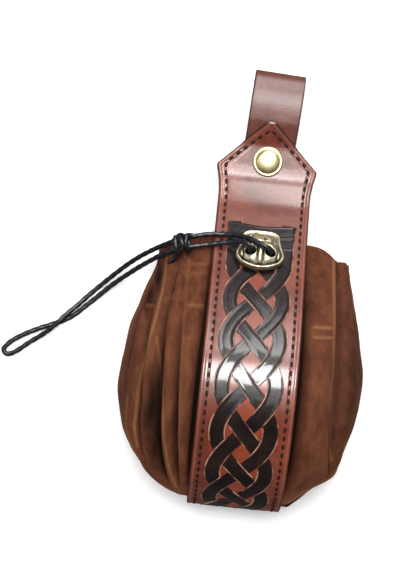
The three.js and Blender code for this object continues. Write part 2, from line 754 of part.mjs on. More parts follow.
// Free stretch of the drawstring, laid by hand: first and last over the bead, from the middle of its holes
const TAIL_OUT = [
  { across: -5.3, up: 0, out: 5.2 },
  { across: -5.3, up: 0, out: 7.4 },
  { across: -5.5, up: 0.2, out: 9.3 },
  { across: -6.6, up: 1.2, out: 10.6 },
  { across: -8.5, up: 2.9, out: 10.2 },
  { across: -10.6, up: 4.3, out: 8.6 },
  { across: -13.4, up: 5.4, out: 6.6 },
  { across: -17, up: 6.3, out: 4.4 },
];
const TAIL_BACK = [
  { across: -16, up: 12, out: 3.8 },
  { across: -12.4, up: 10.4, out: 5.8 },
  { across: -9.2, up: 8.2, out: 7.8 },
  { across: -5.2, up: 5.2, out: 10.2 },
  { across: -2.4, up: 3.1, out: 11.1 },
  { across: 0, up: 1.5, out: 11.5 },
  { across: 2.4, up: 0.5, out: 11.4 },
  { across: 4.3, up: 0.2, out: 10.6 },
  { across: 5.2, up: 0, out: 9.1 },
  { across: 5.3, up: 0, out: 7.4 },
  { across: 5.3, up: 0, out: 5.2 },
];

// Then beside the pouch, to the tip and back: across, rise and lift in millimetres
const TAIL_ROUTE = [
  { across: -21.6, rise: 140.8, lift: 38.5 },
  { across: -28, rise: 139.4, lift: 37.4 },
  { across: -35, rise: 137.8, lift: 37.4 },
  { across: -41.6, rise: 136.2, lift: 37.2 },
  { across: -49, rise: 133.2, lift: 33.4 },
  { across: -55.5, rise: 129.4, lift: 27 },
  { across: -61.6, rise: 125.4, lift: 20 },
  { across: -67.7, rise: 121, lift: 13.5 },
  { across: -73.8, rise: 116.2, lift: 8 },
  { across: -80, rise: 110.9, lift: 4 },
  { across: -85.5, rise: 105.4, lift: 2.1 },
  { across: -91.7, rise: 99.4, lift: 1.6 },
  { across: -97.4, rise: 94, lift: 1.6 },
  { across: -103, rise: 90.2, lift: 1.6 },
  { across: -109.7, rise: 87.2, lift: 1.6 },
  { across: -116.5, rise: 84.2, lift: 1.6 },
  { across: -123, rise: 80.9, lift: 1.6 },
  { across: -129, rise: 77.1, lift: 1.6 },
  { across: -132.8, rise: 73.7, lift: 1.6 },
  { across: -134.4, rise: 71, lift: 1.6 },
  { across: -133.1, rise: 68.7, lift: 1.6 },
  { across: -130.2, rise: 69, lift: 1.6 },
  { across: -126.4, rise: 71.4, lift: 1.6 },
  { across: -121, rise: 75.9, lift: 1.6 },
  { across: -115.5, rise: 80, lift: 2 },
  { across: -110.3, rise: 84.3, lift: 4 },
  { across: -106, rise: 88.7, lift: 5 },
  { across: -101.8, rise: 93.6, lift: 4.4 },
  { across: -96.8, rise: 98.7, lift: 2.9 },
  { across: -91, rise: 105.1, lift: 1.9 },
  { across: -85.2, rise: 111.1, lift: 2.2 },
  { across: -78.7, rise: 117.4, lift: 4.3 },
  { across: -72, rise: 123.5, lift: 8.6 },
  { across: -65.9, rise: 128.3, lift: 14 },
  { across: -59.7, rise: 132.4, lift: 20.6 },
  { across: -53.6, rise: 135.8, lift: 27 },
  { across: -47.3, rise: 138.8, lift: 34 },
  { across: -41, rise: 141, lift: 37 },
  { across: -33, rise: 143.8, lift: 36 },
  { across: -26.5, rise: 145.1, lift: 35 },
  { across: -20.6, rise: 145.7, lift: 34.4 },
];

// Curve of the tail from the bead's left hole round its tip to the right hole
function tailCurve() {
  const overBead = (row) => atBead(row.across, row.up, row.out);
  const route = TAIL_ROUTE.map((row) => new THREE.Vector3(row.across, row.rise - ORIGIN_RISE, row.lift));
  return smooth([...TAIL_OUT.map(overBead), ...route, ...TAIL_BACK.map(overBead)]);
}

// Loose doubled end of the drawstring
function drawstringTail() {
  return piece('drawstring_tail', tube(tailCurve(), CORD, TAIL_SIDES, TAIL_STEPS), 0x23232b, 0.5, 0);
}

// Middle of the knot and its direction, between the two strands
const KNOT_PLACE = { across: -41.3, rise: 138.6, lift: 37.8 };
const KNOT_RUN = { across: -1, rise: -0.35, lift: -0.25 };

// Knot round both strands of the tail
function cordKnot() {
  const middle = new THREE.Vector3(KNOT_PLACE.across, KNOT_PLACE.rise - ORIGIN_RISE, KNOT_PLACE.lift);
  const along = new THREE.Vector3(KNOT_RUN.across, KNOT_RUN.rise, KNOT_RUN.lift).normalize();
  const ball = new THREE.SphereGeometry(0.5, 14, 10);
  ball.scale(KNOT_LENGTH, KNOT_WIDTH, KNOT_THICK);
  ball.applyQuaternion(new THREE.Quaternion().setFromUnitVectors(new THREE.Vector3(1, 0, 0), along));
  ball.translate(middle.x, middle.y, middle.z);
  const knot = solid(ball).subtract(solid(tube(tailCurve(), CORD + 2 * GAP, TAIL_SIDES, TAIL_STEPS)));
  return piece('cord_knot', geometryOf(largest(knot)), 0x23232b, 0.5, 0);
}

const group = new THREE.Group();
group.add(
  suedeBag(),
  coverBand(),
  beltLoop(),
  snapRivet(),
  cordBead(),
  drawstringGather(),
  drawstringTail(),
  cordKnot(),
);

export default group;
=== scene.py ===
# Medieval belt pouch: finish, soft shapes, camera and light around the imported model
import math

import bmesh
import bpy
import numpy as np
from mathutils import Matrix, Vector, noise


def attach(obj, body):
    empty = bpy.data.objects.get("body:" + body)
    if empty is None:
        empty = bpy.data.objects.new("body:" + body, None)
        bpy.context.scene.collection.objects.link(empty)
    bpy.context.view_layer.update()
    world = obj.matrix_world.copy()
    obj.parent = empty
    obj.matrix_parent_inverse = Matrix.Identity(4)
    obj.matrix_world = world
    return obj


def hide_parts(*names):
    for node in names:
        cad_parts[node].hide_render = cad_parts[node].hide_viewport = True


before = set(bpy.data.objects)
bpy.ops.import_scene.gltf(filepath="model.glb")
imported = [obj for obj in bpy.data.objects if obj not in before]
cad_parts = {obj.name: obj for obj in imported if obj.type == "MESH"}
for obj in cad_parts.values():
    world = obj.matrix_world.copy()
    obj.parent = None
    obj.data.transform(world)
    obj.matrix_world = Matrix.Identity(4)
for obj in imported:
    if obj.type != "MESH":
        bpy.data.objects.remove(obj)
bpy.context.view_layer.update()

# Sizes in millimetres, rises up from the pouch's bottom and lifts from the floor
MM = 0.001
ORIGIN_RISE = 100
BELLY_RISE = 61.5
BELLY_LIFT = 78.4
NECK_RISE = 180
HEAD_RISE = 210
BAND_WIDTH = 50
BAND_THICK = 3
HEAD_WIDTH = 55.5
SHOULDER_DROP = 25
HEAD_NARROWING = 17
TIP_WIDTH = 4
TIP_TILT = 21
LEFT_REACH = 68.5
RIGHT_REACH = 62.5
RIM_RISE = 147
SUEDE = 1.5
PLEAT_DEPTH = 10
BAND_TUCK = 1
FLOOR_GAP = 0.4
LOOP_WIDTH = 28
LOOP_THICK = 2.2
LOOP_RISE = 238.4
LOOP_OPENING = 11
LOOP_TONGUE = 12
LOOP_LEAN = 3
RIVET_RISE = 188.5
CAP_WIDTH = 16.5
CAP_DOME = 3.6
POST_WIDTH = 4
PLATE_WIDTH = 11
PLATE_THICK = 1
HOLE_RISE = 134
BEAD_WIDTH = 26
BEAD_HEIGHT = 25
BEAD_THICK = 9
BEAD_CROWN = 2.5
CORD_SPACING = 10.6
CORD = 2.8
GATHER_DROP = 13
GATHER_INSET = 5
GAP = 0.3
BAND_GAP = 0.4
BEAD_GAP = 0.6
HEAD_STACK = 2 * BAND_THICK + 2 * LOOP_THICK + 3 * GAP
CAP_EDGE = RIVET_RISE + CAP_WIDTH / 2
FRONT_ROUND = 0.86
BACK_ROUND = 0.55
MIDDLE_SHARE = 0.46

# Easing of the band's line under its tip and at its neck, and how finely lines are sampled
TIP_EASE = 1
EASE_PASSES = 15
EASE_REACH = 12
EASE_DROP = 3
BAND_STEP = 1.6
SPAN_POINTS = 24

# Band's front above the belly: rise as a share from belly to neck, lift from head stack to belly
FRONT_ARCH = [
    (1.0, 0.0), (0.932, 0.048), (0.873, 0.106), (0.823, 0.168), (0.722, 0.288),
    (0.612, 0.425), (0.435, 0.669), (0.243, 0.888), (0.114, 0.973), (0.0, 1.0),
]

# Band below the belly and round the bottom: rise and lift as shares of the belly's own
BOTTOM_TURN = [
    (0.813, 0.987), (0.663, 0.949), (0.455, 0.867), (0.306, 0.774), (0.143, 0.612),
    (0.041, 0.459), (0.0, 0.332), (0.041, 0.179), (0.146, 0.057), (0.325, 0.0),
]

# Outline of the bag: rise as a share of the rim, reach of the left and the right side
BAG_OUTLINE = [
    (0.02, 0.4, 0.43), (0.041, 0.525, 0.5), (0.07, 0.637, 0.575), (0.108, 0.733, 0.685),
    (0.156, 0.814, 0.83), (0.204, 0.877, 0.875), (0.262, 0.932, 0.91), (0.328, 0.974, 0.952),
    (0.412, 1.0, 0.987), (0.498, 0.996, 1.0), (0.576, 0.974, 0.978), (0.654, 0.946, 0.942),
    (0.733, 0.898, 0.903), (0.803, 0.85, 0.868), (0.873, 0.81, 0.835), (1.0, 0.78, 0.8),
]

# Valleys between pleats: side, face, places, depths, rim height, lean, and opening before and after
RIGHT, LEFT, FRONT, BACK = 1, -1, 1, -1
VALLEYS = [
    (RIGHT, FRONT, (0.05, 0.05, 0.05), (0.1, 0.6, 0.9, 0.8, 0.2), 0.985, 0.1, 0.5, 0.45),
    (RIGHT, FRONT, (0.67, 0.58, 1), (1, 0.8, 0.75, 0.65, 0.1), 0.93, 0, 0.22, 1.1),
    (RIGHT, FRONT, (0.97, 0.965, 1), (0.95, 0.5, 0.3, 0.2, 0.1), 0.91, 0, 0.6, 0.6),
    (RIGHT, BACK, (0.84, 0.88, 0.9), (0.95, 0.6, 0.5, 0.3, 0.15), 0.92, 0.1, 0.6, 0.6),
    (RIGHT, BACK, (0.42, 0.5, 0.5), (1, 0.5, 0.35, 0.2, 0.1), 0.94, -0.1, 0.6, 0.6),
    (RIGHT, BACK, (0, 0, 0), (0.2, 0.15, 0.1, 0.1, 0.05), 0.955, 0, 0.6, 0.6),
    (LEFT, BACK, (0, 0, 0), (0.2, 0.15, 0.1, 0.1, 0.05), 0.955, 0, 0.6, 0.6),
    (LEFT, BACK, (0.38, 0.42, 0.45), (1, 0.5, 0.35, 0.2, 0.1), 0.945, 0.1, 0.6, 0.6),
    (LEFT, BACK, (0.75, 0.78, 0.8), (0.95, 0.55, 0.4, 0.3, 0.15), 0.925, 0, 0.6, 0.6),
    (LEFT, FRONT, (0.96, 0.93, 0.97), (1.1, 0.9, 0.3, 0.3, 0.1), 0.9, 0.1, 0.9, 0.9),
    (LEFT, FRONT, (0.85, 0.73, 0.88), (1.1, 1.0, 0.75, 0.5, 0.1), 0.935, 0.1, 1.0, 0.35),
    (LEFT, FRONT, (0.62, 0.52, 0.57), (0.1, 0.3, 1.3, 1.3, 0.4), 0.965, 0, 1.3, 0.8),
    (LEFT, FRONT, (0.43, 0.29, 0.28), (1.1, 1.2, 1.1, 0.9, 0.3), 0.96, 0.1, 0.4, 0.3),
    (LEFT, FRONT, (0.05, 0.05, 0.05), (0.1, 0.6, 0.9, 0.8, 0.2), 0.985, -0.1, 0.45, 0.5),
]
VALLEY_KEYS = ("side", "face", "place", "depth", "top", "lean", "before", "after")
VALLEYS = [dict(zip(VALLEY_KEYS, row)) for row in VALLEYS]

# Shares of the rim's rise at which a valley's depths and its places are given
DEPTH_AT = (1, 0.75, 0.42, 0.22, 0.05)
PLACE_AT = (1, 0.42, 0.1)
BAG_FOOT = 0.03
RIM_CREST = 0.015
PLEAT_CLOSE = 0.14
EDGE_LIMIT = 0.92
SHED_WIDTH = 9

# Right half of the bead's outline: across and up from its holes as shares of its size
BEAD_OUTLINE = [
    (0, 0.65), (0.3, 0.645), (0.56, 0.622), (0.73, 0.56), (0.79, 0.46), (0.82, 0.34), (0.87, 0.23),
    (0.95, 0.12), (1, 0), (0.97, -0.09), (0.86, -0.18), (0.64, -0.27), (0.34, -0.33), (0, -0.35),
]

# Height of the bead from its middle to its edge, as shares
BEAD_SECTION = [
    (0, 1), (0.26, 0.97), (0.52, 0.87), (0.72, 0.71), (0.8, 0.6), (0.845, 0.48), (0.885, 0.53),
    (0.94, 0.565), (0.98, 0.52), (1, 0.42),
]

# Gather line down one side of the mouth: angle, share of the rise, share of the inset
GATHER_LINE = [
    (90, 1.0, 1.45), (58, 0.992, 1.15), (30, 0.982, 1.0), (4, 0.975, 1.0),
    (-16, 0.972, 1.0), (-38, 0.974, 1.05), (-62, 0.98, 1.2), (-88, 0.985, 1.4),
]

# Free stretch of the drawstring, over the bead in the bead's own directions
TAIL_OUT = [
    (-5.3, 0, 5.2), (-5.3, 0, 7.4), (-5.5, 0.2, 9.3), (-6.6, 1.2, 10.6), (-8.5, 2.9, 10.2),
    (-10.6, 4.3, 8.6), (-13.4, 5.4, 6.6), (-17, 6.3, 4.4),
]
TAIL_BACK = [
    (-16, 12, 3.8), (-12.4, 10.4, 5.8), (-9.2, 8.2, 7.8), (-5.2, 5.2, 10.2), (-2.4, 3.1, 11.1),
    (0, 1.5, 11.5), (2.4, 0.5, 11.4), (4.3, 0.2, 10.6), (5.2, 0, 9.1), (5.3, 0, 7.4), (5.3, 0, 5.2),
]

# Then beside the pouch, to the tip and back: across, rise and lift
TAIL_ROUTE = [
    (-21.6, 140.8, 38.5), (-28, 139.4, 37.4), (-35, 137.8, 37.4), (-41.6, 136.2, 37.2),
    (-49, 133.2, 33.4), (-55.5, 129.4, 27), (-61.6, 125.4, 20), (-67.7, 121, 13.5),
    (-73.8, 116.2, 8), (-80, 110.9, 4), (-85.5, 105.4, 2.1), (-91.7, 99.4, 1.6),
    (-97.4, 94, 1.6), (-103, 90.2, 1.6), (-109.7, 87.2, 1.6), (-116.5, 84.2, 1.6),
    (-123, 80.9, 1.6), (-129, 77.1, 1.6), (-132.8, 73.7, 1.6), (-134.4, 71, 1.6),
    (-133.1, 68.7, 1.6), (-130.2, 69, 1.6), (-126.4, 71.4, 1.6), (-121, 75.9, 1.6),
    (-115.5, 80, 2), (-110.3, 84.3, 4), (-106, 88.7, 5), (-101.8, 93.6, 4.4),
    (-96.8, 98.7, 2.9), (-91, 105.1, 1.9), (-85.2, 111.1, 2.2), (-78.7, 117.4, 4.3),
    (-72, 123.5, 8.6), (-65.9, 128.3, 14), (-59.7, 132.4, 20.6), (-53.6, 135.8, 27),
    (-47.3, 138.8, 34), (-41, 141, 37), (-33, 143.8, 36), (-26.5, 145.1, 35), (-20.6, 145.7, 34.4),
]


def column(at, value):
    """Smooth function through a table's column, with slopes from its neighbours."""
    order = np.argsort(at)
    x = np.asarray(at, float)[order]
    y = np.asarray(value, float)[order]
    slope = np.empty_like(y)
    slope[1:-1] = (y[2:] - y[:-2]) / (x[2:] - x[:-2])
    slope[0] = (y[1] - y[0]) / (x[1] - x[0])
    slope[-1] = (y[-1] - y[-2]) / (x[-1] - x[-2])

    def value_at(t):
        t = np.clip(t, x[0], x[-1])
        i = np.clip(np.searchsorted(x, t, side="left") - 1, 0, len(x) - 2)
        span = x[i + 1] - x[i]
        u = (t - x[i]) / span
        step = (2 * u - 3) * u * u
        rise = y[i] * (1 + step) - y[i + 1] * step
        return rise + span * u * (1 - u) * (slope[i] * (1 - u) - slope[i + 1] * u)

    return value_at


def smoothstep(x, low, high):
    """Smooth change from 0 at low to 1 at high."""
    t = np.clip((x - low) / (high - low), 0, 1)
    return t * t * (3 - 2 * t)


def between(x, low, rise, fall, high):
    """1 from rise to fall, easing to 0 at low and at high."""
    return smoothstep(x, low, rise) * (1 - smoothstep(x, fall, high))


def hump(x, middle, width):
    """Smooth rise and fall round one value."""
    return np.exp(-((x - middle) / width) ** 2)


def bump_at(x, y, place, size):
    """Smooth round mark of a given size."""
    return hump(x, place[0], size[0]) * hump(y, place[1], size[1])


def unit(vectors):
    """Vectors of length one, along the last axis."""
    return vectors / np.linalg.norm(vectors, axis=-1, keepdims=True)


def circle(count):
    """Angles at equal steps all the way round."""
    return np.arange(count) / count * 2 * math.pi


def catmull(points):
    """Centripetal Catmull-Rom curve through points, finely sampled."""
    p = np.asarray(points, float)
    p = np.vstack([2 * p[0] - p[1], p, 2 * p[-1] - p[-2]])
    out = []
    for i in range(len(p) - 3):
        a, b, c, d = p[i:i + 4]
        d0, d1, d2 = (math.sqrt(np.linalg.norm(span)) for span in (b - a, c - b, d - c))
        m1 = ((b - a) / d0 - (c - a) / (d0 + d1) + (c - b) / d1) * d1
        m2 = ((c - b) / d1 - (d - b) / (d1 + d2) + (d - c) / d2) * d1
        t = np.linspace(0, 1, SPAN_POINTS, endpoint=False)[:, None]
        out.append(
            (2 * t**3 - 3 * t**2 + 1) * b + (t**3 - 2 * t**2 + t) * m1
            + (3 * t**2 - 2 * t**3) * c + (t**3 - t**2) * m2
        )
    out.append(p[-2][None])
    return np.vstack(out)


def resample(points, step):
    """Points along a polyline at equal steps."""
    run = lengths(points)
    count = max(int(round(run[-1] / step)), 1)
    at = np.linspace(0, run[-1], count + 1)
    return np.stack([np.interp(at, run, points[:, k]) for k in range(points.shape[1])], axis=1)


def lengths(points):
    """Distance along a polyline to each of its points."""
    return np.concatenate([[0], np.cumsum(np.linalg.norm(np.diff(points, axis=0), axis=1))])


def side_point(rise, lift):
    """Point of the side view, from its rise and its lift."""
    return (rise - ORIGIN_RISE, lift)


def place_at(across, rise, lift):
    """Point over the floor, from its place across, its rise and its lift."""
    return np.array([across, *side_point(rise, lift)])


def eased(path, middle):
    """Side view path with its front smoothed near one place along it."""
    for _ in range(EASE_PASSES):
        near = 1 - smoothstep(np.abs(path[1:-1, 0] - middle), 0.4 * EASE_REACH, EASE_REACH)
        near = near * (path[1:-1, 1] > HEAD_STACK - 1)
        mean = (path[:-2] + 2 * path[1:-1] + path[2:]) / 4
        path[1:-1] += (mean - path[1:-1]) * near[:, None]
    return path


def band_path():
    """Outer face of the cover band in the side view, from the front tip to the back tip."""
    tip_lift = HEAD_STACK + (HEAD_RISE - CAP_EDGE) * math.tan(math.radians(TIP_TILT))
    shoulder = HEAD_RISE - SHOULDER_DROP
    span = NECK_RISE - BELLY_RISE
    arch = [
        side_point(BELLY_RISE + span * rise, HEAD_STACK + (BELLY_LIFT - HEAD_STACK) * lift)
        for rise, lift in FRONT_ARCH
    ]
    turn = [side_point(BELLY_RISE * rise, BELLY_LIFT * lift) for rise, lift in BOTTOM_TURN]
    head = [
        side_point(HEAD_RISE, tip_lift),
        side_point(CAP_EDGE + TIP_EASE, HEAD_STACK + 0.2 * TIP_EASE),
        side_point(CAP_EDGE - TIP_EASE, HEAD_STACK),
        side_point(shoulder, HEAD_STACK),
    ]
    back = [side_point(shoulder, 0), side_point(HEAD_RISE, 0)]
    path = resample(np.vstack([head, catmull(arch + turn), back]), BAND_STEP)
    return eased(path, NECK_RISE - EASE_DROP - ORIGIN_RISE)


def normals_of(path):
    """Outward normals of a side view path that runs down the front and up the back."""
    run = unit(np.gradient(path, axis=0))
    return np.stack([run[:, 1], -run[:, 0]], axis=1)


BAND = band_path()
BAND_OUT = normals_of(BAND)
BAND_RUN = lengths(BAND)
LOWEST = int(np.argmin(BAND[:, 0]))


def on_band(across, along, out):
    """Points over the band's outer face, from across, along from the front tip, and out."""
    y = np.interp(along, BAND_RUN, BAND[:, 0])
    z = np.interp(along, BAND_RUN, BAND[:, 1])
    ny = np.interp(along, BAND_RUN, BAND_OUT[:, 0])
    nz = np.interp(along, BAND_RUN, BAND_OUT[:, 1])
    across = np.asarray(across, float) + 0 * y
    return np.stack([across, y + ny * out, z + nz * out], axis=-1)


def along_at(rise):
    """Distance along the band's front at a rise."""
    y = BAND[:LOWEST + 1, 0]
    return float(np.interp(-(rise - ORIGIN_RISE), -y, BAND_RUN[:LOWEST + 1]))


def half_width(rise):
    """Half the band's width at a rise, with its pointed heads."""
    shoulder = HEAD_RISE - SHOULDER_DROP
    neck = shoulder - HEAD_NARROWING
    if rise >= shoulder:
        share = (HEAD_RISE - rise) / SHOULDER_DROP
        return (TIP_WIDTH + (HEAD_WIDTH - TIP_WIDTH) * share) / 2
    if rise > neck:
        share = (rise - neck) / HEAD_NARROWING
        return (BAND_WIDTH + (HEAD_WIDTH - BAND_WIDTH) * share * share) / 2
    return BAND_WIDTH / 2


def make_mesh(name, points, faces, smooth=True):
    """Mesh object from points in millimetres."""
    mesh = bpy.data.meshes.new(name)
    mesh.from_pydata((np.asarray(points) * MM).tolist(), [], faces)
    mesh.validate()
    mesh.update()
    obj = bpy.data.objects.new(name, mesh)
    bpy.context.scene.collection.objects.link(obj)
    if smooth:
        mesh.polygons.foreach_set("use_smooth", [True] * len(mesh.polygons))
    return obj


def grid_faces(rows, columns, closed=True, start=0):
    """Faces of a grid of points, wrapped round where it is closed."""
    last = columns if closed else columns - 1
    faces = []
    for j in range(rows - 1):
        for i in range(last):
            a = start + j * columns + i
            b = start + j * columns + (i + 1) % columns
            faces.append((a, b, b + columns, a + columns))
    return faces


def tube_faces(rows, columns, start=0):
    """Faces of a closed tube: its wall and a cap at each end."""
    first = range(start, start + columns)
    last = range(start + (rows - 1) * columns, start + rows * columns)
    return grid_faces(rows, columns, start=start) + [tuple(first)[::-1], tuple(last)]


def fan(start, count, pole):
    """Faces from a ring of points to one point."""
    return [(start + i, start + (i + 1) % count, pole) for i in range(count)]


def set_attribute(obj, name, values):
    """One number for each vertex, for the materials to read."""
    layer = obj.data.attributes.new(name, "FLOAT", "POINT")
    layer.data.foreach_set("value", np.asarray(values, np.float32))


def make_solid(name, points, faces, smooth=True):
    """Closed mesh object with its faces turned out."""
    obj = make_mesh(name, points, faces, smooth)
    work = bmesh.new()
    work.from_mesh(obj.data)
    bmesh.ops.recalc_face_normals(work, faces=work.faces)
    work.to_mesh(obj.data)
    work.free()
    return obj


def dress(obj, material, node=None):
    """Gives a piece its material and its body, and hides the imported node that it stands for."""
    obj.data.materials.append(material)
    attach(obj, "root")
    if node:
        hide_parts(node)


class Finish:
    """Material with a principled shader and short calls for its nodes."""

    def __init__(self, name, **inputs):
        self.material = bpy.data.materials.new(name)
        self.material.use_nodes = True
        self.tree = self.material.node_tree
        self.shader = self.tree.nodes["Principled BSDF"]
        self.place = self.node("TexCoord").outputs["Object"]
        self.shade(**inputs)

    def node(self, kind, inputs=(), **settings):
        """New node with its settings, each input linked to a socket or set to a value."""
        made = self.tree.nodes.new("ShaderNode" + kind)
        for key, value in settings.items():
            setattr(made, key, value)
        self.fill(made, dict(inputs))
        return made

    def fill(self, node, inputs):
        """Links inputs to sockets or sets them to values."""
        for key, value in inputs.items():
            socket = node.inputs[key]
            if isinstance(value, bpy.types.NodeSocket):
                self.tree.links.new(value, socket)
            else:
                socket.default_value = (*value, 1) if socket.type == "RGBA" else value

    def shade(self, **inputs):
        """Links or sets inputs of the shader, whose names are written with underscores."""
        self.fill(self.shader, {key.replace("_", " "): value for key, value in inputs.items()})

    def noise(self, scale, detail, roughness, stretch=None):
        """Cloudy noise over the piece."""
        source = self.place
        if stretch:
            source = self.node("Mapping", {"Scale": stretch, "Vector": source}).outputs["Vector"]
        inputs = {"Scale": scale, "Detail": detail, "Roughness": roughness, "Vector": source}
        return self.node("TexNoise", inputs).outputs["Fac"]

    def cells(self, scale):
        """Distance from the middle of small cells."""
        return self.node("TexVoronoi", {"Scale": scale, "Vector": self.place}).outputs["Distance"]

    def attribute(self, name):
        """One of the piece's own values."""
        return self.node("Attribute", attribute_name=name).outputs["Fac"]

    def ramp(self, source, stops):
        """Colour from a value, through stops of a place and a colour."""
        made = self.node("ValToRGB", {"Fac": source})
        band = made.color_ramp
        while len(band.elements) < len(stops):
            band.elements.new(0.5)
        for element, (place, colour) in zip(band.elements, stops):
            element.position = place
            element.color = (*colour, 1)
        return made.outputs["Color"]

    def mix(self, share, first, second):
        """Mix of two colours."""
        return self.node("Mix", {0: share, 6: first, 7: second}, data_type="RGBA").outputs[2]

    def spread(self, source, low, high, to_low=0.0, to_high=1.0):
        """Value stretched from one range to another."""
        inputs = {"Value": source, "From Min": low, "From Max": high, "To Min": to_low, "To Max": to_high}
        return self.node("MapRange", inputs).outputs["Result"]

    def bump(self, *layers):
        """Fine relief, from layers of height, distance and strength."""
        normal = {}
        for height, distance, strength in layers:
            inputs = {"Height": height, "Distance": distance, "Strength": strength, **normal}
            normal = {"Normal": self.node("Bump", inputs).outputs["Normal"]}
        self.shade(**normal)


def srgb(red, green, blue):
    """Linear colour from an 8-bit sRGB one."""
    def linear(value):
        value /= 255
        return value / 12.92 if value <= 0.04045 else ((value + 0.055) / 1.055) ** 2.4
    return (linear(red), linear(green), linear(blue))


def suede_finish():
    """Napped suede: patchy brown, with painted shade in the folds and painted highlights on the crests."""
    made = Finish("suede", Roughness=0.95, Specular_IOR_Level=0.06)
    made.shade(Sheen_Weight=0.12, Sheen_Roughness=0.5, Sheen_Tint=srgb(180, 104, 66))
    broad = made.noise(42, 3, 0.6)
    brushed = made.noise(190, 5, 0.65, (1.0, 0.32, 1.0))
    fine = made.noise(1500, 3, 0.6)
    tones = [(0.3, srgb(66, 35, 23)), (0.5, srgb(94, 54, 36)), (0.7, srgb(115, 69, 46))]
    nap = [(0.3, srgb(52, 27, 18)), (0.52, srgb(96, 56, 38)), (0.76, srgb(132, 82, 55))]
    mixed = made.mix(0.55, made.ramp(broad, tones), made.ramp(brushed, nap))
    grain = made.mix(made.spread(fine, 0.3, 0.7, 0.0, 0.35), mixed, srgb(60, 30, 19))
    # Painted shade: near black where the folds run deep and in the shaded hollows
    folded = made.mix(made.attribute("valley"), grain, srgb(15, 7, 6))
    # Painted highlight: lighter colour along the ridges and pressed creases
    made.shade(Base_Color=made.mix(made.attribute("painted_highlight"), folded, srgb(146, 98, 66)))
    made.bump((fine, 0.0005, 0.5), (brushed, 0.0012, 0.3))
    return made.material


def leather_colour(made, tones, scale=38):
    """Mottled dye of a leather, from three tones."""
    cloud = made.noise(scale, 5, 0.6)
    spots = made.noise(scale * 9, 4, 0.7)
    base = made.ramp(cloud, [(0.28, tones[0]), (0.5, tones[1]), (0.74, tones[2])])
    return made.mix(made.spread(spots, 0.42, 0.72, 0.0, 0.45), base, tones[0])


def leather_bump(made):
    """Pores and faint wrinkles of smooth leather."""
    pores = made.cells(1500)
    wrinkles = made.noise(260, 5, 0.65)
    made.bump((wrinkles, 0.0006, 0.35), (pores, 0.0002, 0.35))
    return wrinkles


def tooled_finish():
    """Glossy red-brown band leather with dark painted edges."""
    made = Finish("tooled_leather", Coat_Roughness=0.18, Specular_IOR_Level=0.22)
    base = leather_colour(made, [srgb(74, 30, 20), srgb(108, 49, 33), srgb(132, 66, 46)])
    ground = made.mix(made.attribute("ground"), base, srgb(128, 52, 28))
    # Painted highlight: lighter colour on the pressed ridge inside the edge
    worn = made.mix(made.attribute("ridge_highlight"), ground, srgb(132, 84, 68))
    painted = made.mix(made.attribute("paint"), worn, srgb(38, 21, 18))
    rough = made.spread(leather_bump(made), 0.3, 0.7, 0.34, 0.52)
    made.shade(Base_Color=painted, Roughness=rough, Coat_Weight=made.attribute("gloss"))
    return made.material


def plait_finish():
    """Dark painted plait strands with pale worn edge lines."""
    made = Finish("plait_paint", Roughness=0.36, Coat_Roughness=0.11, Specular_IOR_Level=0.12)
    base = leather_colour(made, [srgb(14, 9, 9), srgb(27, 18, 17), srgb(40, 27, 24)], 90)
    wear = made.spread(made.noise(160, 3, 0.6), 0.4, 0.62)
    edges = made.mix(wear, srgb(86, 50, 38), srgb(172, 130, 108))
    colour = made.mix(made.attribute("edge"), base, edges)
    made.shade(Base_Color=colour, Coat_Weight=made.attribute("gloss"))
    leather_bump(made)
    return made.material


def strap_finish():
    """Smooth brown loop leather, a little duller than the band."""
    made = Finish("strap_leather", Roughness=0.42, Specular_IOR_Level=0.24)
    made.shade(Coat_Weight=0.12, Coat_Roughness=0.26)
    base = leather_colour(made, [srgb(72, 38, 31), srgb(100, 55, 45), srgb(120, 70, 58)], 30)
    made.shade(Base_Color=made.mix(made.attribute("paint"), base, srgb(44, 26, 22)))
    leather_bump(made)
    return made.material


def thread_finish():
    """Dark waxed sewing thread."""
    made = Finish("stitch_thread", Roughness=0.7, Specular_IOR_Level=0.15)
    twist = made.noise(2600, 2, 0.5)
    made.shade(Base_Color=made.ramp(twist, [(0.35, srgb(22, 9, 8)), (0.65, srgb(44, 20, 17))]))
    made.bump((twist, 0.0002, 0.6))
    return made.material


def metal_finish(name, dark, mid, light, roughness):
    """Metal darker in its hollows, from dirt there and from painted shade in the bead's holes, and
    brighter on worn high places.
    """
    made = Finish(name, Metallic=1.0)
    base = made.ramp(made.noise(420, 5, 0.6), [(0.3, mid), (0.7, light)])
    scratches = made.noise(1600, 3, 0.6, (1.0, 0.15, 1.0))
    rough = made.spread(scratches, 0.3, 0.7, roughness * 0.8, roughness * 1.35)
    made.shade(Base_Color=made.mix(made.attribute("hollow"), base, dark), Roughness=rough)
    made.bump((scratches, 0.00015, 0.25))
    return made.material


def cord_finish():
    """Braided waxed cord, near black with a blue-grey gloss and painted shade between its strands."""
    made = Finish("waxed_cord", Roughness=0.45, Specular_IOR_Level=0.28)
    made.shade(Coat_Weight=0.16, Coat_Roughness=0.24)
    wax = made.noise(900, 4, 0.6)
    base = made.ramp(wax, [(0.3, srgb(12, 12, 17)), (0.6, srgb(24, 24, 33)), (0.8, srgb(44, 44, 58))])
    # Painted shade in the dips between the braid's strands
    made.shade(Base_Color=made.mix(made.attribute("strand_shade"), base, srgb(5, 5, 7)))
    made.bump((wax, 0.0002, 0.4))
    return made.material


def floor_finish():
    """Plain pale floor."""
    made = Finish("pale_floor", Roughness=0.9, Specular_IOR_Level=0.1)
    made.shade(Emission_Strength=0.22, Emission_Color=(1, 1, 1))
    stops = [(0.3, (0.86, 0.855, 0.85)), (0.7, (0.9, 0.895, 0.89))]
    made.shade(Base_Color=made.ramp(made.noise(3, 2, 0.5), stops))
    return made.material


# Camera straight over the pouch, turned so that it leans as the photograph shows
CAMERA_HEIGHT = 950
CAMERA_CENTRE = (-30, 18)
CAMERA_ROLL = 5.95
VIEW_WIDTH = 222
SENSOR = 36

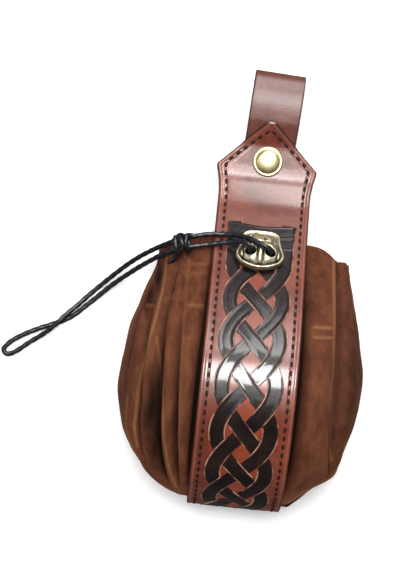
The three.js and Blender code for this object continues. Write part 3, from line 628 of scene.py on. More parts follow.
# Lights in metres and watts: name, place, aim, size, power, whether seen in gloss, whether lighting colour
LIGHTS = [
    ("key", (-0.02, 0.4, 1.3), (-0.01, 0, 0.05), (0.8, 0.6), 20, False, True),
    ("above", (0.06, 1.1, 0.8), (-0.01, 0.02, 0.05), (1.1, 0.7), 8, False, True),
    ("top", (-0.02, 0.1, 1.4), (-0.01, 0.02, 0.05), (0.5, 0.4), 2.4, True, True),
    ("left", (-1.3, 0.1, 0.8), (0, 0, 0.03), (0.8, 0.8), 4, True, True),
    ("right", (1.3, -0.1, 0.8), (0, 0, 0.03), (0.8, 0.8), 0.8, True, True),
    ("foot", (0, -1.4, 0.8), (0, 0, 0.03), (1.0, 0.5), 6, False, True),
    ("shine", (-0.02, 0.51, 1.28), (-0.01, 0, 0.05), (0.5, 0.42), 33, True, False),
    ("neck", (0.24, 1.06, 0.79), (0, 0.07, 0.03), (0.46, 0.6), 21, True, False),
]
WORLD_STRENGTH = 0.14
FLOOR_EDGE = 2500


def add_camera():
    """Camera straight over the pouch."""
    data = bpy.data.cameras.new("camera")
    data.sensor_fit = "HORIZONTAL"
    data.sensor_width = SENSOR
    data.lens = SENSOR * CAMERA_HEIGHT / VIEW_WIDTH
    camera = bpy.data.objects.new("camera", data)
    camera.location = (CAMERA_CENTRE[0] * MM, CAMERA_CENTRE[1] * MM, CAMERA_HEIGHT * MM)
    camera.rotation_euler = (0, 0, math.radians(CAMERA_ROLL))
    bpy.context.scene.collection.objects.link(camera)
    bpy.context.scene.camera = camera


def add_light(name, place, aim, size, power, glossy, diffuse):
    """Area light aimed at a point."""
    data = bpy.data.lights.new(name, "AREA")
    data.shape = "RECTANGLE"
    data.size, data.size_y = size
    data.energy = power
    light = bpy.data.objects.new(name, data)
    light.location = place
    light.rotation_euler = (Vector(aim) - Vector(place)).to_track_quat("-Z", "Y").to_euler()
    light.visible_glossy = glossy
    light.visible_diffuse = diffuse
    bpy.context.scene.collection.objects.link(light)


def add_studio():
    """Pale floor, soft lights round the pouch, softboxes for its gloss, and a dim white world."""
    edge = FLOOR_EDGE
    points = [(-edge, -edge, 0), (edge, -edge, 0), (edge, edge, 0), (-edge, edge, 0)]
    floor = make_mesh("floor", points, [(0, 1, 2, 3)], smooth=False)
    floor.data.materials.append(floor_finish())
    floor.visible_glossy = False
    for row in LIGHTS:
        add_light(*row)
    world = bpy.data.worlds.new("studio")
    world.use_nodes = True
    background = world.node_tree.nodes["Background"].inputs
    background["Color"].default_value = (1, 1, 1, 1)
    background["Strength"].default_value = WORLD_STRENGTH
    bpy.context.scene.world = world
    bpy.context.scene.view_settings.view_transform = "Standard"


SEAT_REACH = 2


def bead_seat():
    """Bead's place on the band: point, direction up the band and direction out of it."""
    along = along_at(HOLE_RISE) + np.array([0, SEAT_REACH, -SEAT_REACH])
    point, lower, upper = on_band(0, along, 0)
    up = unit(upper - lower)
    out = np.array([0, -up[2], up[1]])
    return point, up, out


SEAT, SEAT_UP, SEAT_OUT = bead_seat()


def at_bead(across, up, out):
    """Point in the bead's own directions."""
    return SEAT + np.array([across, 0, 0]) + up * SEAT_UP + out * SEAT_OUT


def tail_points():
    """Points of the drawstring's free stretch, from the left hole round its tip to the right hole."""
    route = [place_at(*row) for row in TAIL_ROUTE]
    return [at_bead(*row) for row in TAIL_OUT] + route + [at_bead(*row) for row in TAIL_BACK]


def frames_along(path):
    """Sides and ups along a path, carried without twist."""
    run = unit(np.gradient(path, axis=0))
    up = np.array([0, 0, 1.0])
    if abs(run[0] @ up) > 0.9:
        up = np.array([0, 1.0, 0])
    sides, ups = [], []
    for tangent in run:
        up = unit(up - tangent * (up @ tangent))
        ups.append(up)
        sides.append(np.cross(tangent, up))
    return np.array(sides), np.array(ups)


# Braid of the cord: points round it, its strands and their pitch, and how they swell and part, with
# painted shade where they part
BRAID_POINTS = 16
BRAID_STRANDS = 4
BRAID_PITCH = 5.2
BRAID_MEAN = 0.93
BRAID_SWELL = 0.085
STRAND_SHADE_START = 0.25


def braided_cord(name, path, step):
    """Round braided cord: a tube whose surface swells and dips as crossing strands do."""
    line = resample(path, step)
    sides, ups = frames_along(line)
    angle = circle(BRAID_POINTS)
    turn = lengths(line)[:, None] / BRAID_PITCH * 2 * math.pi
    first = np.cos(BRAID_STRANDS / 2 * angle + turn)
    second = np.cos(BRAID_STRANDS / 2 * angle - turn)
    weave = np.maximum(first, second)
    radius = CORD / 2 * (BRAID_MEAN + BRAID_SWELL * weave)
    across = sides[:, None] * (np.cos(angle) * radius)[..., None]
    upward = ups[:, None] * (np.sin(angle) * radius)[..., None]
    points = (line[:, None] + across + upward).reshape(-1, 3)
    obj = make_solid(name, points, tube_faces(len(line), BRAID_POINTS))
    # Painted shade where the strands part
    set_attribute(obj, "strand_shade", np.clip(STRAND_SHADE_START - weave, 0, 1).reshape(-1))
    return obj, line


def add_tail(material):
    """Loose doubled end of the drawstring, with its knot."""
    obj, line = braided_cord("cord_tail", catmull(tail_points()), step=0.55)
    dress(obj, material, "drawstring_tail")
    knot = add_knot(material)


# Knot's middle, as across, rise and lift, and the way that its strands run
KNOT_MIDDLE = (-41.3, 138.6, 37.8)
KNOT_ALONG = (-1, -0.35, -0.25)

# Knot's wrap in its own directions: along the strands, across them and up
KNOT_WRAP = [
    (7.6, 1.8, -1.6), (4.8, 3.4, -0.6), (3.1, 3.2, 1.7), (2.4, 0.2, 3.1), (2.1, -3.2, 2.1),
    (2.2, -4.3, -0.4), (2.6, -2.6, -2.6), (2.2, 1.2, -2.9), (0.6, 4.0, -1.4), (-0.8, 4.5, 1.2),
    (0.2, 2.2, 4.6), (1.2, -0.4, 5.3), (-0.6, -2.7, 4.2), (-2.4, -4.4, 1.4), (-2.8, -3.8, -1.4),
    (-2.6, -1.0, -2.9), (-2.6, 2.4, -2.5), (-2.9, 4.2, 0.2), (-3.0, 2.6, 2.7), (-3.2, -0.6, 3.3),
    (-3.6, -3.6, 2.3), (-5.2, -6.0, 0.9), (-7.6, -7.4, 0.2), (-10.2, -8.2, -0.4),
]


def add_knot(material):
    """Overhand knot round both strands, with a short cut end."""
    along = unit(np.array(KNOT_ALONG))
    across = unit(np.cross((0, 0, 1.0), along))
    up = np.cross(along, across)
    points = place_at(*KNOT_MIDDLE) + np.array(KNOT_WRAP) @ np.array([-along, -across, up])
    obj, _ = braided_cord("cord_knot_wraps", catmull(points), step=0.5)
    dress(obj, material, "cord_knot")
    return obj


def branch_lift(path, front):
    """Lift of a side view path at a rise, on its front or its back branch."""
    lowest = int(np.argmin(path[:, 0]))
    branch = path[:lowest + 1][::-1] if front else path[lowest:]

    def lift_at(rise):
        return np.interp(rise - ORIGIN_RISE, branch[:, 0], branch[:, 1])

    return lift_at


SUEDE_PATH = BAND - BAND_OUT * (BAND_THICK + BAND_GAP)
front_lift = branch_lift(SUEDE_PATH, True)
back_lift = branch_lift(SUEDE_PATH, False)
outline_share, outline_left, outline_right = zip(*BAG_OUTLINE)
left_reach = column(outline_share, outline_left)
right_reach = column(outline_share, outline_right)


def envelope(side, angle, rise, inset=0.0):
    """Points of the bag's smooth envelope, or of a copy of it inside the bag."""
    share = rise / RIM_RISE
    reach = np.where(side > 0, RIGHT_REACH * right_reach(share), LEFT_REACH * left_reach(share)) - inset
    front_face = angle > 0
    half = BAND_WIDTH / 2 + np.where(front_face, -BAND_TUCK, 2 * BAND_TUCK)
    edge = np.minimum(half, EDGE_LIMIT * reach)
    rounding = np.where(front_face, FRONT_ROUND, BACK_ROUND)
    x = edge + (reach - edge) * np.abs(np.cos(angle)) ** rounding
    front = front_lift(rise) - inset
    band_back = back_lift(rise)
    floor = np.maximum(band_back - BAND_THICK - BAND_GAP, 0) + FLOOR_GAP
    shed = smoothstep(x, edge, edge + SHED_WIDTH)
    back = band_back + (floor - band_back) * shed + inset
    middle = back + (front - back) * MIDDLE_SHARE
    swing = np.abs(np.sin(angle)) ** rounding
    lift = np.where(front_face, middle + (front - middle) * swing, middle - (middle - back) * swing)
    return np.stack([side * x, rise - ORIGIN_RISE + 0 * x, lift], axis=-1)


def gather_path():
    """Held stretch of the drawstring, round the mouth and out through band and bead."""
    reach = CORD_SPACING / 2
    inner = BAND_THICK + BAND_GAP + GATHER_LINE[0][2] * GATHER_INSET

    def leave(side):
        return [
            at_bead(side * reach, 0, BEAD_THICK / 2),
            at_bead(side * reach, 0, 0),
            at_bead(side * (reach + 0.1 * CORD), 0, CORD - inner),
            at_bead(side * (reach + 1.6 * CORD), 0, -inner),
        ]

    def down(side):
        rises = RIM_RISE - GATHER_DROP
        return [
            envelope(np.float64(side), np.radians(angle), rises * rise, GATHER_INSET * inset)
            for angle, rise, inset in GATHER_LINE
        ]

    return catmull(leave(1) + down(1) + down(-1)[::-1] + leave(-1)[::-1])


def add_gather(material):
    """Held stretch of the drawstring as a braided cord."""
    obj, _ = braided_cord("cord_gather", gather_path(), step=0.8)
    dress(obj, material, "drawstring_gather")


# Short creases pressed across the pleats, each with a painted highlight along it: middle across, rise,
# half length and strength
CREASES = [
    (36, 102, 6.5, 0.6), (36.5, 97, 6.5, 0.55), (-31.5, 128.5, 5.5, 0.3), (-31.5, 123.5, 5, 0.25),
    (-31.5, 106.5, 5.5, 0.4), (-54, 104, 3.5, 0.3), (-44, 109, 4, 0.15),
]
CREASE_WIDTH = 0.75

# Painted highlights down the pleats' ridges: strength, width and points across and rise
RIDGES = [
    (0.55, 0.8, [(-49.4, 132), (-49.2, 113), (-51.6, 96), (-54.4, 78), (-56, 60), (-56, 42), (-54, 30)]),
    (0.5, 0.8, [(-49.5, 88), (-45.5, 72), (-43, 54), (-40, 35), (-35.6, 19), (-31.5, 10)]),
    (0.35, 0.9, [(-61.5, 56), (-61.5, 44), (-58, 30), (-51, 18)]),
    (0.6, 0.9, [(40.2, 138), (42.4, 106), (43.8, 81), (44.2, 58), (44.8, 42), (48, 33)]),
    (0.4, 1.6, [(27, 6.5), (36, 12), (44, 17.5), (53, 25), (55.5, 30)]),
    (0.3, 1.0, [(-37, 130), (-36.5, 96), (-34.5, 60), (-33, 30)]),
]

# Shade pooled in hollows and down the far sides: across, rise, reach across and up, strength
HOLLOWS = [
    (-48, 52, 4.4, 19, 1), (-44, 30, 5.2, 13, 0.85), (-52.2, 120, 3.4, 12, 1), (-55.4, 109, 3.8, 11, 0.95),
    (-63, 74, 7, 50, 0.42), (58, 74, 11, 60, 0.6), (52, 24, 10, 14, 0.2),
]

# Unevenness of the suede: size of its waves across and up, their height and the noise's start
BROAD_WAVES = (17, 17, 0.9, (0, 0, 0))
SMALL_WAVES = (5.5, 16, 0.42, (7, 3, 1))
PUCKERS = (2.6, 7, 0.35, (0, 0, 0))
PUCKER_SHARE = (0.72, 0.95)
FREE_SHARE = (0.05, 0.2)

# Pressed creases, painted shade, and the bag's grid of rows and columns
CREASE_HEIGHT = 0.32
CREASE_LEAN = 0.05
SHADE_GAIN = 1.7
SHADE_START = 0.22
SHADE_EASE = 0.8
INNER_SHADE = 0.35
LEAST_LIFT = 0.35
ROW_EASE = 0.92
FLAT_FALL = 6
PLEAT_STEPS = 26
FLAT_STEPS = 24
BAG_ROWS = 128
INNER_STRIDE = 4


def waves(point, across, up, height, start):
    """Height of soft waves at a point."""
    place = Vector((point.x / across, point.y / up, point.z / across))
    return height * noise.noise(place + Vector(start))


def distance_to(x, rise, points):
    """Distance from a line drawn down the bag, growing past its ends."""
    at = np.array(points, float)
    order = np.argsort(at[:, 1])
    line = np.interp(rise, at[order, 1], at[order, 0])
    beyond = np.maximum(np.maximum(at[:, 1].min() - rise, rise - at[:, 1].max()), 0)
    slope = np.gradient(at[order, 0], at[order, 1])
    tilt = np.interp(rise, at[order, 1], slope)
    return np.hypot((x - line) / np.sqrt(1 + tilt ** 2), beyond)


class BagForm:
    """Pleated bag as a grid: columns round it, rows from its foot to its rim."""

    def __init__(self):
        spans = []
        for i, start in enumerate(VALLEYS):
            end = VALLEYS[(i + 1) % len(VALLEYS)]
            flat = start["side"] != end["side"]
            steps = FLAT_STEPS if flat else PLEAT_STEPS
            spans += [(start, end, flat, k / steps) for k in range(steps)]
        self.start, self.end, flat, u = zip(*spans)
        self.flat = np.array(flat)
        self.u = np.array(u)
        self.share = BAG_FOOT + (1 - BAG_FOOT) * np.linspace(0, 1, BAG_ROWS) ** ROW_EASE

    def field(self, which, key):
        """One value of each column's valley."""
        return np.array([valley[key] for valley in which], float)

    def nearer(self, start_key, end_key):
        """One value of each column's nearer valley."""
        return np.where(self.u < 0.5, self.field(self.start, start_key), self.field(self.end, end_key))

    def angles(self, which):
        """Angle of each column's valley at each row."""
        def angle(valley):
            rounding = FRONT_ROUND if valley["face"] > 0 else BACK_ROUND
            place = np.maximum(column(PLACE_AT, valley["place"])(self.share), 0)
            return valley["face"] * np.arccos(np.minimum(place ** (1 / rounding), 1))

        return np.stack([angle(valley) for valley in which], axis=1)

    def depths(self, which):
        """Depth of each column's valley at each row, as a share of the pleat depth."""
        closing = smoothstep(self.share, BAG_FOOT, PLEAT_CLOSE)
        depths = [column(DEPTH_AT, valley["depth"])(self.share) for valley in which]
        return np.stack(depths, axis=1) * closing[:, None]

    def rim(self):
        """Rise of the rim over each column."""
        top = self.field(self.start, "top") * (1 - self.u) + self.field(self.end, "top") * self.u
        crest = np.where(self.flat, 0, RIM_CREST * np.sin(math.pi * self.u))
        return RIM_RISE * np.minimum(top + crest, 1)

    def outer(self):
        """Outer face, painted shade mask and painted highlight mask, each a grid of rows by columns."""
        u = self.u
        rise = self.rim() * self.share[:, None]
        first = self.angles(self.start)
        last = self.angles(self.end)
        start_side = self.field(self.start, "side") + 0 * rise
        end_side = self.field(self.end, "side") + 0 * rise
        swept = envelope(start_side, first + (last - first) * u, rise)
        from_start = envelope(start_side, first, rise)
        from_end = envelope(end_side, last, rise)
        across = from_start + (from_end - from_start) * u[:, None]
        grid = np.where(self.flat[:, None], across, swept)
        tangent = np.roll(grid, -1, axis=1) - np.roll(grid, 1, axis=1)
        tangent[..., 1] = 0
        tangent = unit(tangent)
        inward = np.stack([tangent[..., 2], 0 * rise, -tangent[..., 0]], axis=-1)
        start_depth = self.depths(self.start)
        end_depth = self.depths(self.end)
        fold = 1 - np.maximum(np.sin(math.pi * u), 0) ** self.nearer("after", "before")
        depth = (start_depth + (end_depth - start_depth) * u) * fold
        flat_fold = np.maximum(1 - FLAT_FALL * np.minimum(u, 1 - u), 0)
        depth = np.where(self.flat, start_depth * flat_fold, depth)
        lean = self.nearer("lean", "lean")
        moved = grid + inward * (PLEAT_DEPTH * depth)[..., None]
        moved = moved + tangent * (PLEAT_DEPTH * lean * depth)[..., None]
        # Painted shade, stronger where the valleys run deeper
        valley = np.clip(depth * SHADE_GAIN - SHADE_START, 0, 1) ** SHADE_EASE
        return self.crumple(moved, -inward, valley)

    def crumple(self, grid, outward, valley):
        """Adds small unevenness, puckers at the gather line and pressed creases, and paints shade and
        highlights.
        """
        across = grid[..., 0]
        rise = grid[..., 1] + ORIGIN_RISE
        facing = outward[..., 2]
        free = np.where(self.flat, 0.0, 1.0) * smoothstep(self.share, *FREE_SHARE)[:, None]
        painted_highlight = np.zeros(rise.shape)
        height = np.zeros(rise.shape)
        pucker = smoothstep(self.share, *PUCKER_SHARE)
        for j, i in np.argwhere(free != 0):
            p = Vector(grid[j, i])
            broad = waves(p, *BROAD_WAVES) + waves(p, *SMALL_WAVES)
            height[j, i] = free[j, i] * (broad + pucker[j] * waves(p, *PUCKERS))
        # Each pressed crease also gets a painted highlight along it
        for x, y, reach, strength in CREASES:
            off = rise - y - CREASE_LEAN * (across - x)
            within = 1 - smoothstep(np.abs(across - x), 0.7 * reach, reach)
            mark = hump(off, 0, CREASE_WIDTH) * within * (facing > 0.1) * strength
            painted_highlight = np.maximum(painted_highlight, mark)
            height += CREASE_HEIGHT * mark
        for x, y, wide, tall, strength in HOLLOWS:
            spot = bump_at(across, rise, (x, y), (wide, tall))
            valley = np.maximum(valley, strength * spot * (facing > 0))
        # Painted highlights down the ridges, fainter where shade is painted
        for strength, width, points in RIDGES:
            mark = strength * hump(distance_to(across, rise, points), 0, width) * (facing > 0)
            painted_highlight = np.maximum(painted_highlight, mark * (1 - 0.7 * valley))
        shifted = grid + outward * height[..., None]
        shifted[..., 2] = np.maximum(shifted[..., 2], LEAST_LIFT)
        return shifted, valley, painted_highlight


def surface_normals(grid):
    """Vertex normals of a closed grid, facing away from its middle."""
    down = np.gradient(grid, axis=0)
    round_it = np.roll(grid, -1, axis=1) - np.roll(grid, 1, axis=1)
    normal = np.cross(round_it, down)
    normal /= np.maximum(np.linalg.norm(normal, axis=2), 1e-9)[..., None]
    middle = grid.mean(axis=1, keepdims=True)
    flip = np.sign(np.median(np.sum(normal * (grid - middle), axis=2)))
    return normal * flip


def add_bag(material):
    """Suede bag: outer face, closed foot, rim and inner face."""
    outer, valley, painted_highlight = BagForm().outer()
    rows, count = outer.shape[:2]
    kept = np.unique(np.concatenate([np.arange(0, rows, INNER_STRIDE), [rows - 1]]))
    inner = (outer - surface_normals(outer) * SUEDE)[kept]
    foot = outer[0].mean(axis=0)
    foot[1] = -ORIGIN_RISE + BAND_THICK + BAND_GAP
    sole = foot + np.array([0, SUEDE, 0])
    points = np.vstack([outer.reshape(-1, 3), inner.reshape(-1, 3), foot[None], sole[None]])
    inside = rows * count
    top = inside - count
    inner_top = inside + (len(kept) - 1) * count
    faces = grid_faces(rows, count)
    faces += [face[::-1] for face in grid_faces(len(kept), count, start=inside)]
    faces += [face[::-1] for face in fan(0, count, len(points) - 2)]
    faces += fan(inside, count, len(points) - 1)
    for i in range(count):
        k = (i + 1) % count
        faces.append((top + i, top + k, inner_top + k, inner_top + i))
    obj = make_solid("bag_suede", points, faces)
    shade = np.full(len(points) - inside, INNER_SHADE)
    # Painted shade over the outer face's folds and hollows, and evenly over the inner face
    set_attribute(obj, "valley", np.concatenate([valley.reshape(-1), shade]))
    # Painted highlight along ridges and creases
    set_attribute(obj, "painted_highlight", np.concatenate([painted_highlight.reshape(-1), 0 * shade]))
    dress(obj, material, "suede_bag")


# Section of the band at one edge: distance in from the edge and height over the face
EDGE_SECTION = [
    (0, -1.5), (0, -0.7), (0.16, -0.26), (0.5, -0.03), (0.95, 0.13), (1.5, 0.17), (2.0, 0.04),
    (2.4, -0.12), (2.9, -0.02), (3.4, -0.03), (3.8, -0.16), (4.1, -0.2), (4.4, -0.16), (4.8, -0.02),
    (5.4, 0.0), (8.0, 0.0),
]

# Under edge of a strip, inward and over its lower face, and how edges give way at a slanting end
UNDER_SECTION = [(0.16, 0.3), (0.55, 0.02)]
MIDDLE_POINTS = 9
BASE_POINTS = 3
STITCH_INSET = 4.1
EDGE_SLOPE = 1.2
EDGE_SHARE = 0.92
UNDER_STRETCH = 1.4
FACE_DEPTH = 0.75


def strip_mesh(name, path, out, halves, thick, section):
    """Leather strip along a side view path, with a shaped edge and rounded lower corners."""
    slope = np.abs(np.gradient(halves, lengths(path)))
    stretch = np.sqrt(1 + np.minimum(slope, EDGE_SLOPE) ** 2)
    points, inset = [], []
    for j, half in enumerate(halves):
        scale = min(stretch[j], EDGE_SHARE * half / section[-1][0])
        face = [(-half + d * scale, h) for d, h in section]
        under = [(-half + d * min(scale, UNDER_STRETCH), h - thick) for d, h in UNDER_SECTION]
        middle = np.linspace(face[-1][0], -face[-1][0], MIDDLE_POINTS + 2)[1:-1]
        base = np.linspace(-under[-1][0], under[-1][0], BASE_POINTS + 2)[1:-1]
        ring = face + [(x, 0.0) for x in middle] + [(-x, h) for x, h in face[::-1]]
        ring += [(-x, h) for x, h in under] + [(x, -thick) for x in base] + under[::-1]
        for x, h in ring:
            points.append((x, *(path[j] + out[j] * h)))
            inset.append((half - abs(x)) / stretch[j] if h > -FACE_DEPTH else -1.0)
    obj = make_solid(name, points, tube_faces(len(path), len(ring)))
    return obj, np.array(inset)


# Wax burnished by handling: the belly's middle and reach, the neck's start, the dull place at the rivet
BELLY_SHINE = (74, 17)
NECK_SHINE = (148, 162)
RIVET_DULL = (183.5, 3.5)
WAX = 0.1
WAX_SHINE = 0.34
DULLING = 0.75


def gloss_at(rise):
    """Strength of the band's wax at a rise."""
    belly = hump(rise, *BELLY_SHINE)
    neck = smoothstep(rise, *NECK_SHINE) * (1 - DULLING * hump(rise, *RIVET_DULL))
    return WAX + WAX_SHINE * np.maximum(belly, neck)


def cut(obj, cutters):
    """Cuts holes with closed tools, which are then deleted."""
    for tool in cutters:
        change = obj.modifiers.new("cut", "BOOLEAN")
        change.object = tool
        change.solver = "EXACT"
        with bpy.context.temp_override(object=obj, active_object=obj):
            bpy.ops.object.modifier_apply(modifier=change.name)
        bpy.data.objects.remove(tool, do_unlink=True)


ROD_SIDES = 32


def rod(name, start, end, width):
    """Straight closed rod between two points."""
    start = np.asarray(start, float)
    end = np.asarray(end, float)
    along = unit(end - start)
    across = unit(np.cross(along, (1.0, 0, 0)))
    angle = circle(ROD_SIDES)
    ring = np.outer(np.cos(angle), across) + np.outer(np.sin(angle), np.cross(along, across))
    points = np.vstack([start + ring * width / 2, end + ring * width / 2])
    return make_solid(name, points, tube_faces(2, ROD_SIDES), smooth=False)


# Painted edge of the band, the painted highlight on its pressed ridge and the reddened ground of the
# plait, as insets
EDGE_PAINT = (0.2, 0.6)
RIDGE_INSET = (0.9, 1.3, 1.7, 2.3)
GROUND_INSET = (10, 12.5)
RIDGE_HIGHLIGHT = 0.6
GROUND_RED = 0.7

# Holes for the cord: the play round it, and the cut's reach to both sides of the face
CORD_PLAY = 0.9
CUT_REACH = 6


def add_band(material):
    """Cover band: one leather strip, front head to back head."""
    halves = np.array([half_width(p[0] + ORIGIN_RISE) for p in BAND])
    obj, inset = strip_mesh("band_leather", BAND, BAND_OUT, halves, BAND_THICK, EDGE_SECTION)
    row = np.arange(len(inset)) // (len(inset) // len(BAND))
    rise = BAND[row, 0] + ORIGIN_RISE
    shown = (row < LOWEST) & (rise < PLAIT_TOP_RISE)
    set_attribute(obj, "paint", np.where(inset < 0, 1.0, 1 - smoothstep(inset, *EDGE_PAINT)))
    # Painted highlight along the pressed ridge
    set_attribute(obj, "ridge_highlight", RIDGE_HIGHLIGHT * np.where(inset < 0, 0, between(inset, *RIDGE_INSET)))
    set_attribute(obj, "ground", GROUND_RED * shown * smoothstep(inset, *GROUND_INSET))
    set_attribute(obj, "gloss", gloss_at(rise))
    y = RIVET_RISE - ORIGIN_RISE
    tools = [
        rod("plate_seat", (0, y, -BAND_THICK), (0, y, PLATE_THICK + 2 * GAP), PLATE_WIDTH + 2 * GAP),
        rod("post_hole", (0, y, -BAND_THICK), (0, y, HEAD_STACK + BAND_THICK), POST_WIDTH + 2 * GAP),
    ]
    for x in (-CORD_SPACING / 2, CORD_SPACING / 2):
        start, end = at_bead(x, 0, -CUT_REACH), at_bead(x, 0, CUT_REACH)
        tools.append(rod("cord_hole", start, end, CORD + CORD_PLAY))
    cut(obj, tools)
    dress(obj, material, "cover_band")


# Plait of four strands down the band
PLAIT_REACH = 13.8
PLAIT_PITCH = 98.4
STRAND_WIDTH = 8.7
PLAIT_TOP_RISE = 132
PLAIT_CROSSINGS = 7
PLAIT_EAR = 26.5
PLAIT_PANEL = [(14.5, 1), (22.1, 1.5)]
PANEL_REACH = 17
PANEL_LIFT = 0.38
PLAIT_STEP = 0.8
EDGE_TUCK = 0.35
CROSS_LIFT = 0.14
OUTER_LIFT = 0.02

# Section of a strand from its edge inward: share of its half width, height, and edge mark
HALF_SECTION = [
    (1.0, -0.25, 0.3), (0.97, 0.2, 1), (0.91, 0.34, 1), (0.84, 0.3, 0.3), (0.76, 0.14, 0), (0.4, 0.2, 0),
]
STRAND_SECTION = [(-x, h, edge) for x, h, edge in HALF_SECTION] + [(0.0, 0.22, 0)] + HALF_SECTION[::-1]

# Places along one wave of a strand: where it goes over and under, and where its edges tuck in
LIFT_AT = [(-0.25, 0), (-0.125, -1), (0, 1), (0.125, -1), (0.25, 0), (0.375, 1), (0.5, -1), (0.625, 1)]
LIFT_AT += [(place + 1, sign) for place, sign in LIFT_AT[:4]]
TUCK_AT = (-0.125, 0.125, 0.5, 0.875, 1.125)
TUCK_REACH = (0.062, 0.078)


def ribbon(path, lift, tuck):
    """Points and edge marks of a raised strand along a path over the band."""
    run = unit(np.gradient(path, axis=0))
    normal = np.stack([-run[:, 1], run[:, 0]], axis=1)
    across, height, edge = np.array(STRAND_SECTION).T
    points, marks = [], []
    for j in range(len(path)):
        spot = path[j] + np.outer(across * STRAND_WIDTH / 2, normal[j])
        high = np.where(height < 0, height, height + lift[j]) - EDGE_TUCK * tuck[j] * edge
        points.append(on_band(spot[:, 0], spot[:, 1], high))
        marks.append(edge * (1 - tuck[j]))
    return np.concatenate(points), np.concatenate(marks)


def strand_lift(phase):
    """Height of a strand along its wave: over, under, over, then the other way round."""
    return CROSS_LIFT * np.interp(phase % 1.0, *zip(*LIFT_AT))


def strand_tuck(phase):
    """Where a strand's edges sink under the strand that crosses it."""
    away = [np.abs(phase % 1.0 - place) for place in TUCK_AT]
    return 1 - smoothstep(np.min(away, axis=0), *TUCK_REACH)


def plait_paths():
    """Centre lines, heights and tucks of the strands, of the ears past their ends, and of the panels."""
    top = along_at(PLAIT_TOP_RISE)
    bottom = top + PLAIT_CROSSINGS * PLAIT_PITCH / 4
    along = np.arange(top, bottom + 0.01, PLAIT_STEP)
    strands = []
    for k in range(4):
        phase = (along - top) / PLAIT_PITCH + k / 4
        across = PLAIT_REACH * np.sin(2 * math.pi * phase)
        strands.append((np.stack([across, along], axis=1), strand_lift(phase), strand_tuck(phase)))
    slope = PLAIT_REACH * 2 * math.pi / PLAIT_PITCH
    ear = [(0, 0), (2.6, 2.6 / slope), (7.8, 10.5), (11.2, 17.5), (13.2, PLAIT_EAR - 2)]
    outer = [(0.9, PLAIT_EAR), (0.2, 19), (0, 12), (0, 6), (0, 0)]
    outer = [(PLAIT_REACH + x, past) for x, past in outer]

    def beyond(points, end, way, side=1):
        laid = [(side * x, end + way * past) for x, past in points]
        return resample(catmull(laid), PLAIT_STEP)

    for end, way in ((top, -1), (bottom, 1)):
        for side in (-1, 1):
            line = beyond(ear, end, way, side)
            fade = np.linspace(1, 0, len(line))
            strands.append((line, -side * way * CROSS_LIFT * fade, np.ones(len(line))))
            line = beyond(outer, end, way, side)
            strands.append((line, np.full(len(line), OUTER_LIFT), np.zeros(len(line))))
        for high, dip in PLAIT_PANEL:
            line = beyond([(-PANEL_REACH, high), (0, high - dip), (PANEL_REACH, high)], end, way)
            strands.append((line, np.full(len(line), PANEL_LIFT), np.ones(len(line))))
    return strands


def add_plait(material):
    """Plait strands laid over and under each other on the band."""
    points, edges, faces = [], [], []
    for path, lift, tuck in plait_paths():
        spots, marks = ribbon(path, lift, tuck)
        faces += grid_faces(len(path), len(STRAND_SECTION), closed=False, start=len(edges))
        points += spots.tolist()
        edges += marks.tolist()
    obj = make_mesh("band_plait", points, faces)
    set_attribute(obj, "gloss", gloss_at(np.array(points)[:, 1] + ORIGIN_RISE))
    set_attribute(obj, "edge", edges)
    dress(obj, material)


# Stitches down both edges, as far as the band is off the floor
STITCH_PITCH = 4.9
STITCH_LENGTH = 2.9
STITCH_WIDTH = 1.75
STITCH_HEIGHT = 0.42
STITCH_SINK = 0.12
STITCH_START = 4.6
STITCH_PAST = 26
STITCH_TAPER = 0.96
STITCH_BLUNT = 0.02
STITCH_RINGS = 7
STITCH_SIDES = 8


def stitch_line():
    """Stitch line down the right side of the band: across and along."""
    shoulder = along_at(HEAD_RISE - SHOULDER_DROP)
    neck = along_at(HEAD_RISE - SHOULDER_DROP - HEAD_NARROWING)
    reach = HEAD_WIDTH / 2 - STITCH_INSET
    points = [(0, STITCH_START), (reach - 0.9, shoulder - 1.2), (reach - 0.6, shoulder + 1.5)]
    for along in np.linspace(shoulder + 5, neck, 5):
        rise = float(np.interp(along, BAND_RUN, BAND[:, 0])) + ORIGIN_RISE
        points.append((half_width(rise) - STITCH_INSET, along))
    points.append((BAND_WIDTH / 2 - STITCH_INSET, BAND_RUN[-1] - neck))
    return np.array(points)


def stitch_points(start, stop, side):
    """Rings of one stitch, round in section and tapered to both ends."""
    run = unit(stop - start)
    angle = circle(STITCH_SIDES)
    points = []
    for t in np.linspace(-1, 1, STITCH_RINGS):
        size = max(1 - (STITCH_TAPER * t) ** 2, STITCH_BLUNT) ** 0.3
        spot = (start + stop) / 2 + run * t * STITCH_LENGTH / 2
        wide = np.cos(angle) * STITCH_WIDTH / 2 * size
        high = np.sin(angle) * STITCH_HEIGHT * size - STITCH_SINK
        points += on_band(side * (spot[0] - run[1] * wide), spot[1] + run[0] * wide, high).tolist()
    return points


def add_stitches(material):
    """Dark stitches along both edges of the band's outer face."""
    line = resample(stitch_line(), STITCH_PITCH)
    points, faces = [], []
    for side in (-1, 1):
        for start, stop in zip(line[:-1], line[1:]):
            if start[1] > BAND_RUN[LOWEST] + STITCH_PAST:
                break
            faces += tube_faces(STITCH_RINGS, STITCH_SIDES, len(points))
            points += stitch_points(start, stop, side)
    obj = make_solid("band_stitches", points, faces)
    dress(obj, material)


# Edge of the loop's strap, and its fold: drop from the top in bend radii, lift as a share of its depth
LOOP_SECTION = [(0, -1.1), (0, -0.6), (0.14, -0.2), (0.45, -0.03), (0.9, 0.05), (1.3, 0.0), (4.0, 0.0)]
LOOP_FOLD = [(1.9, 0.98), (1, 0.89), (0.3, 0.72), (0, 0.48), (0.4, 0.2), (1.2, 0.04)]
LOOP_SWELL = 0.35
LOOP_STEP = 1.4
LOOP_PAINT = (0.3, 0.8)


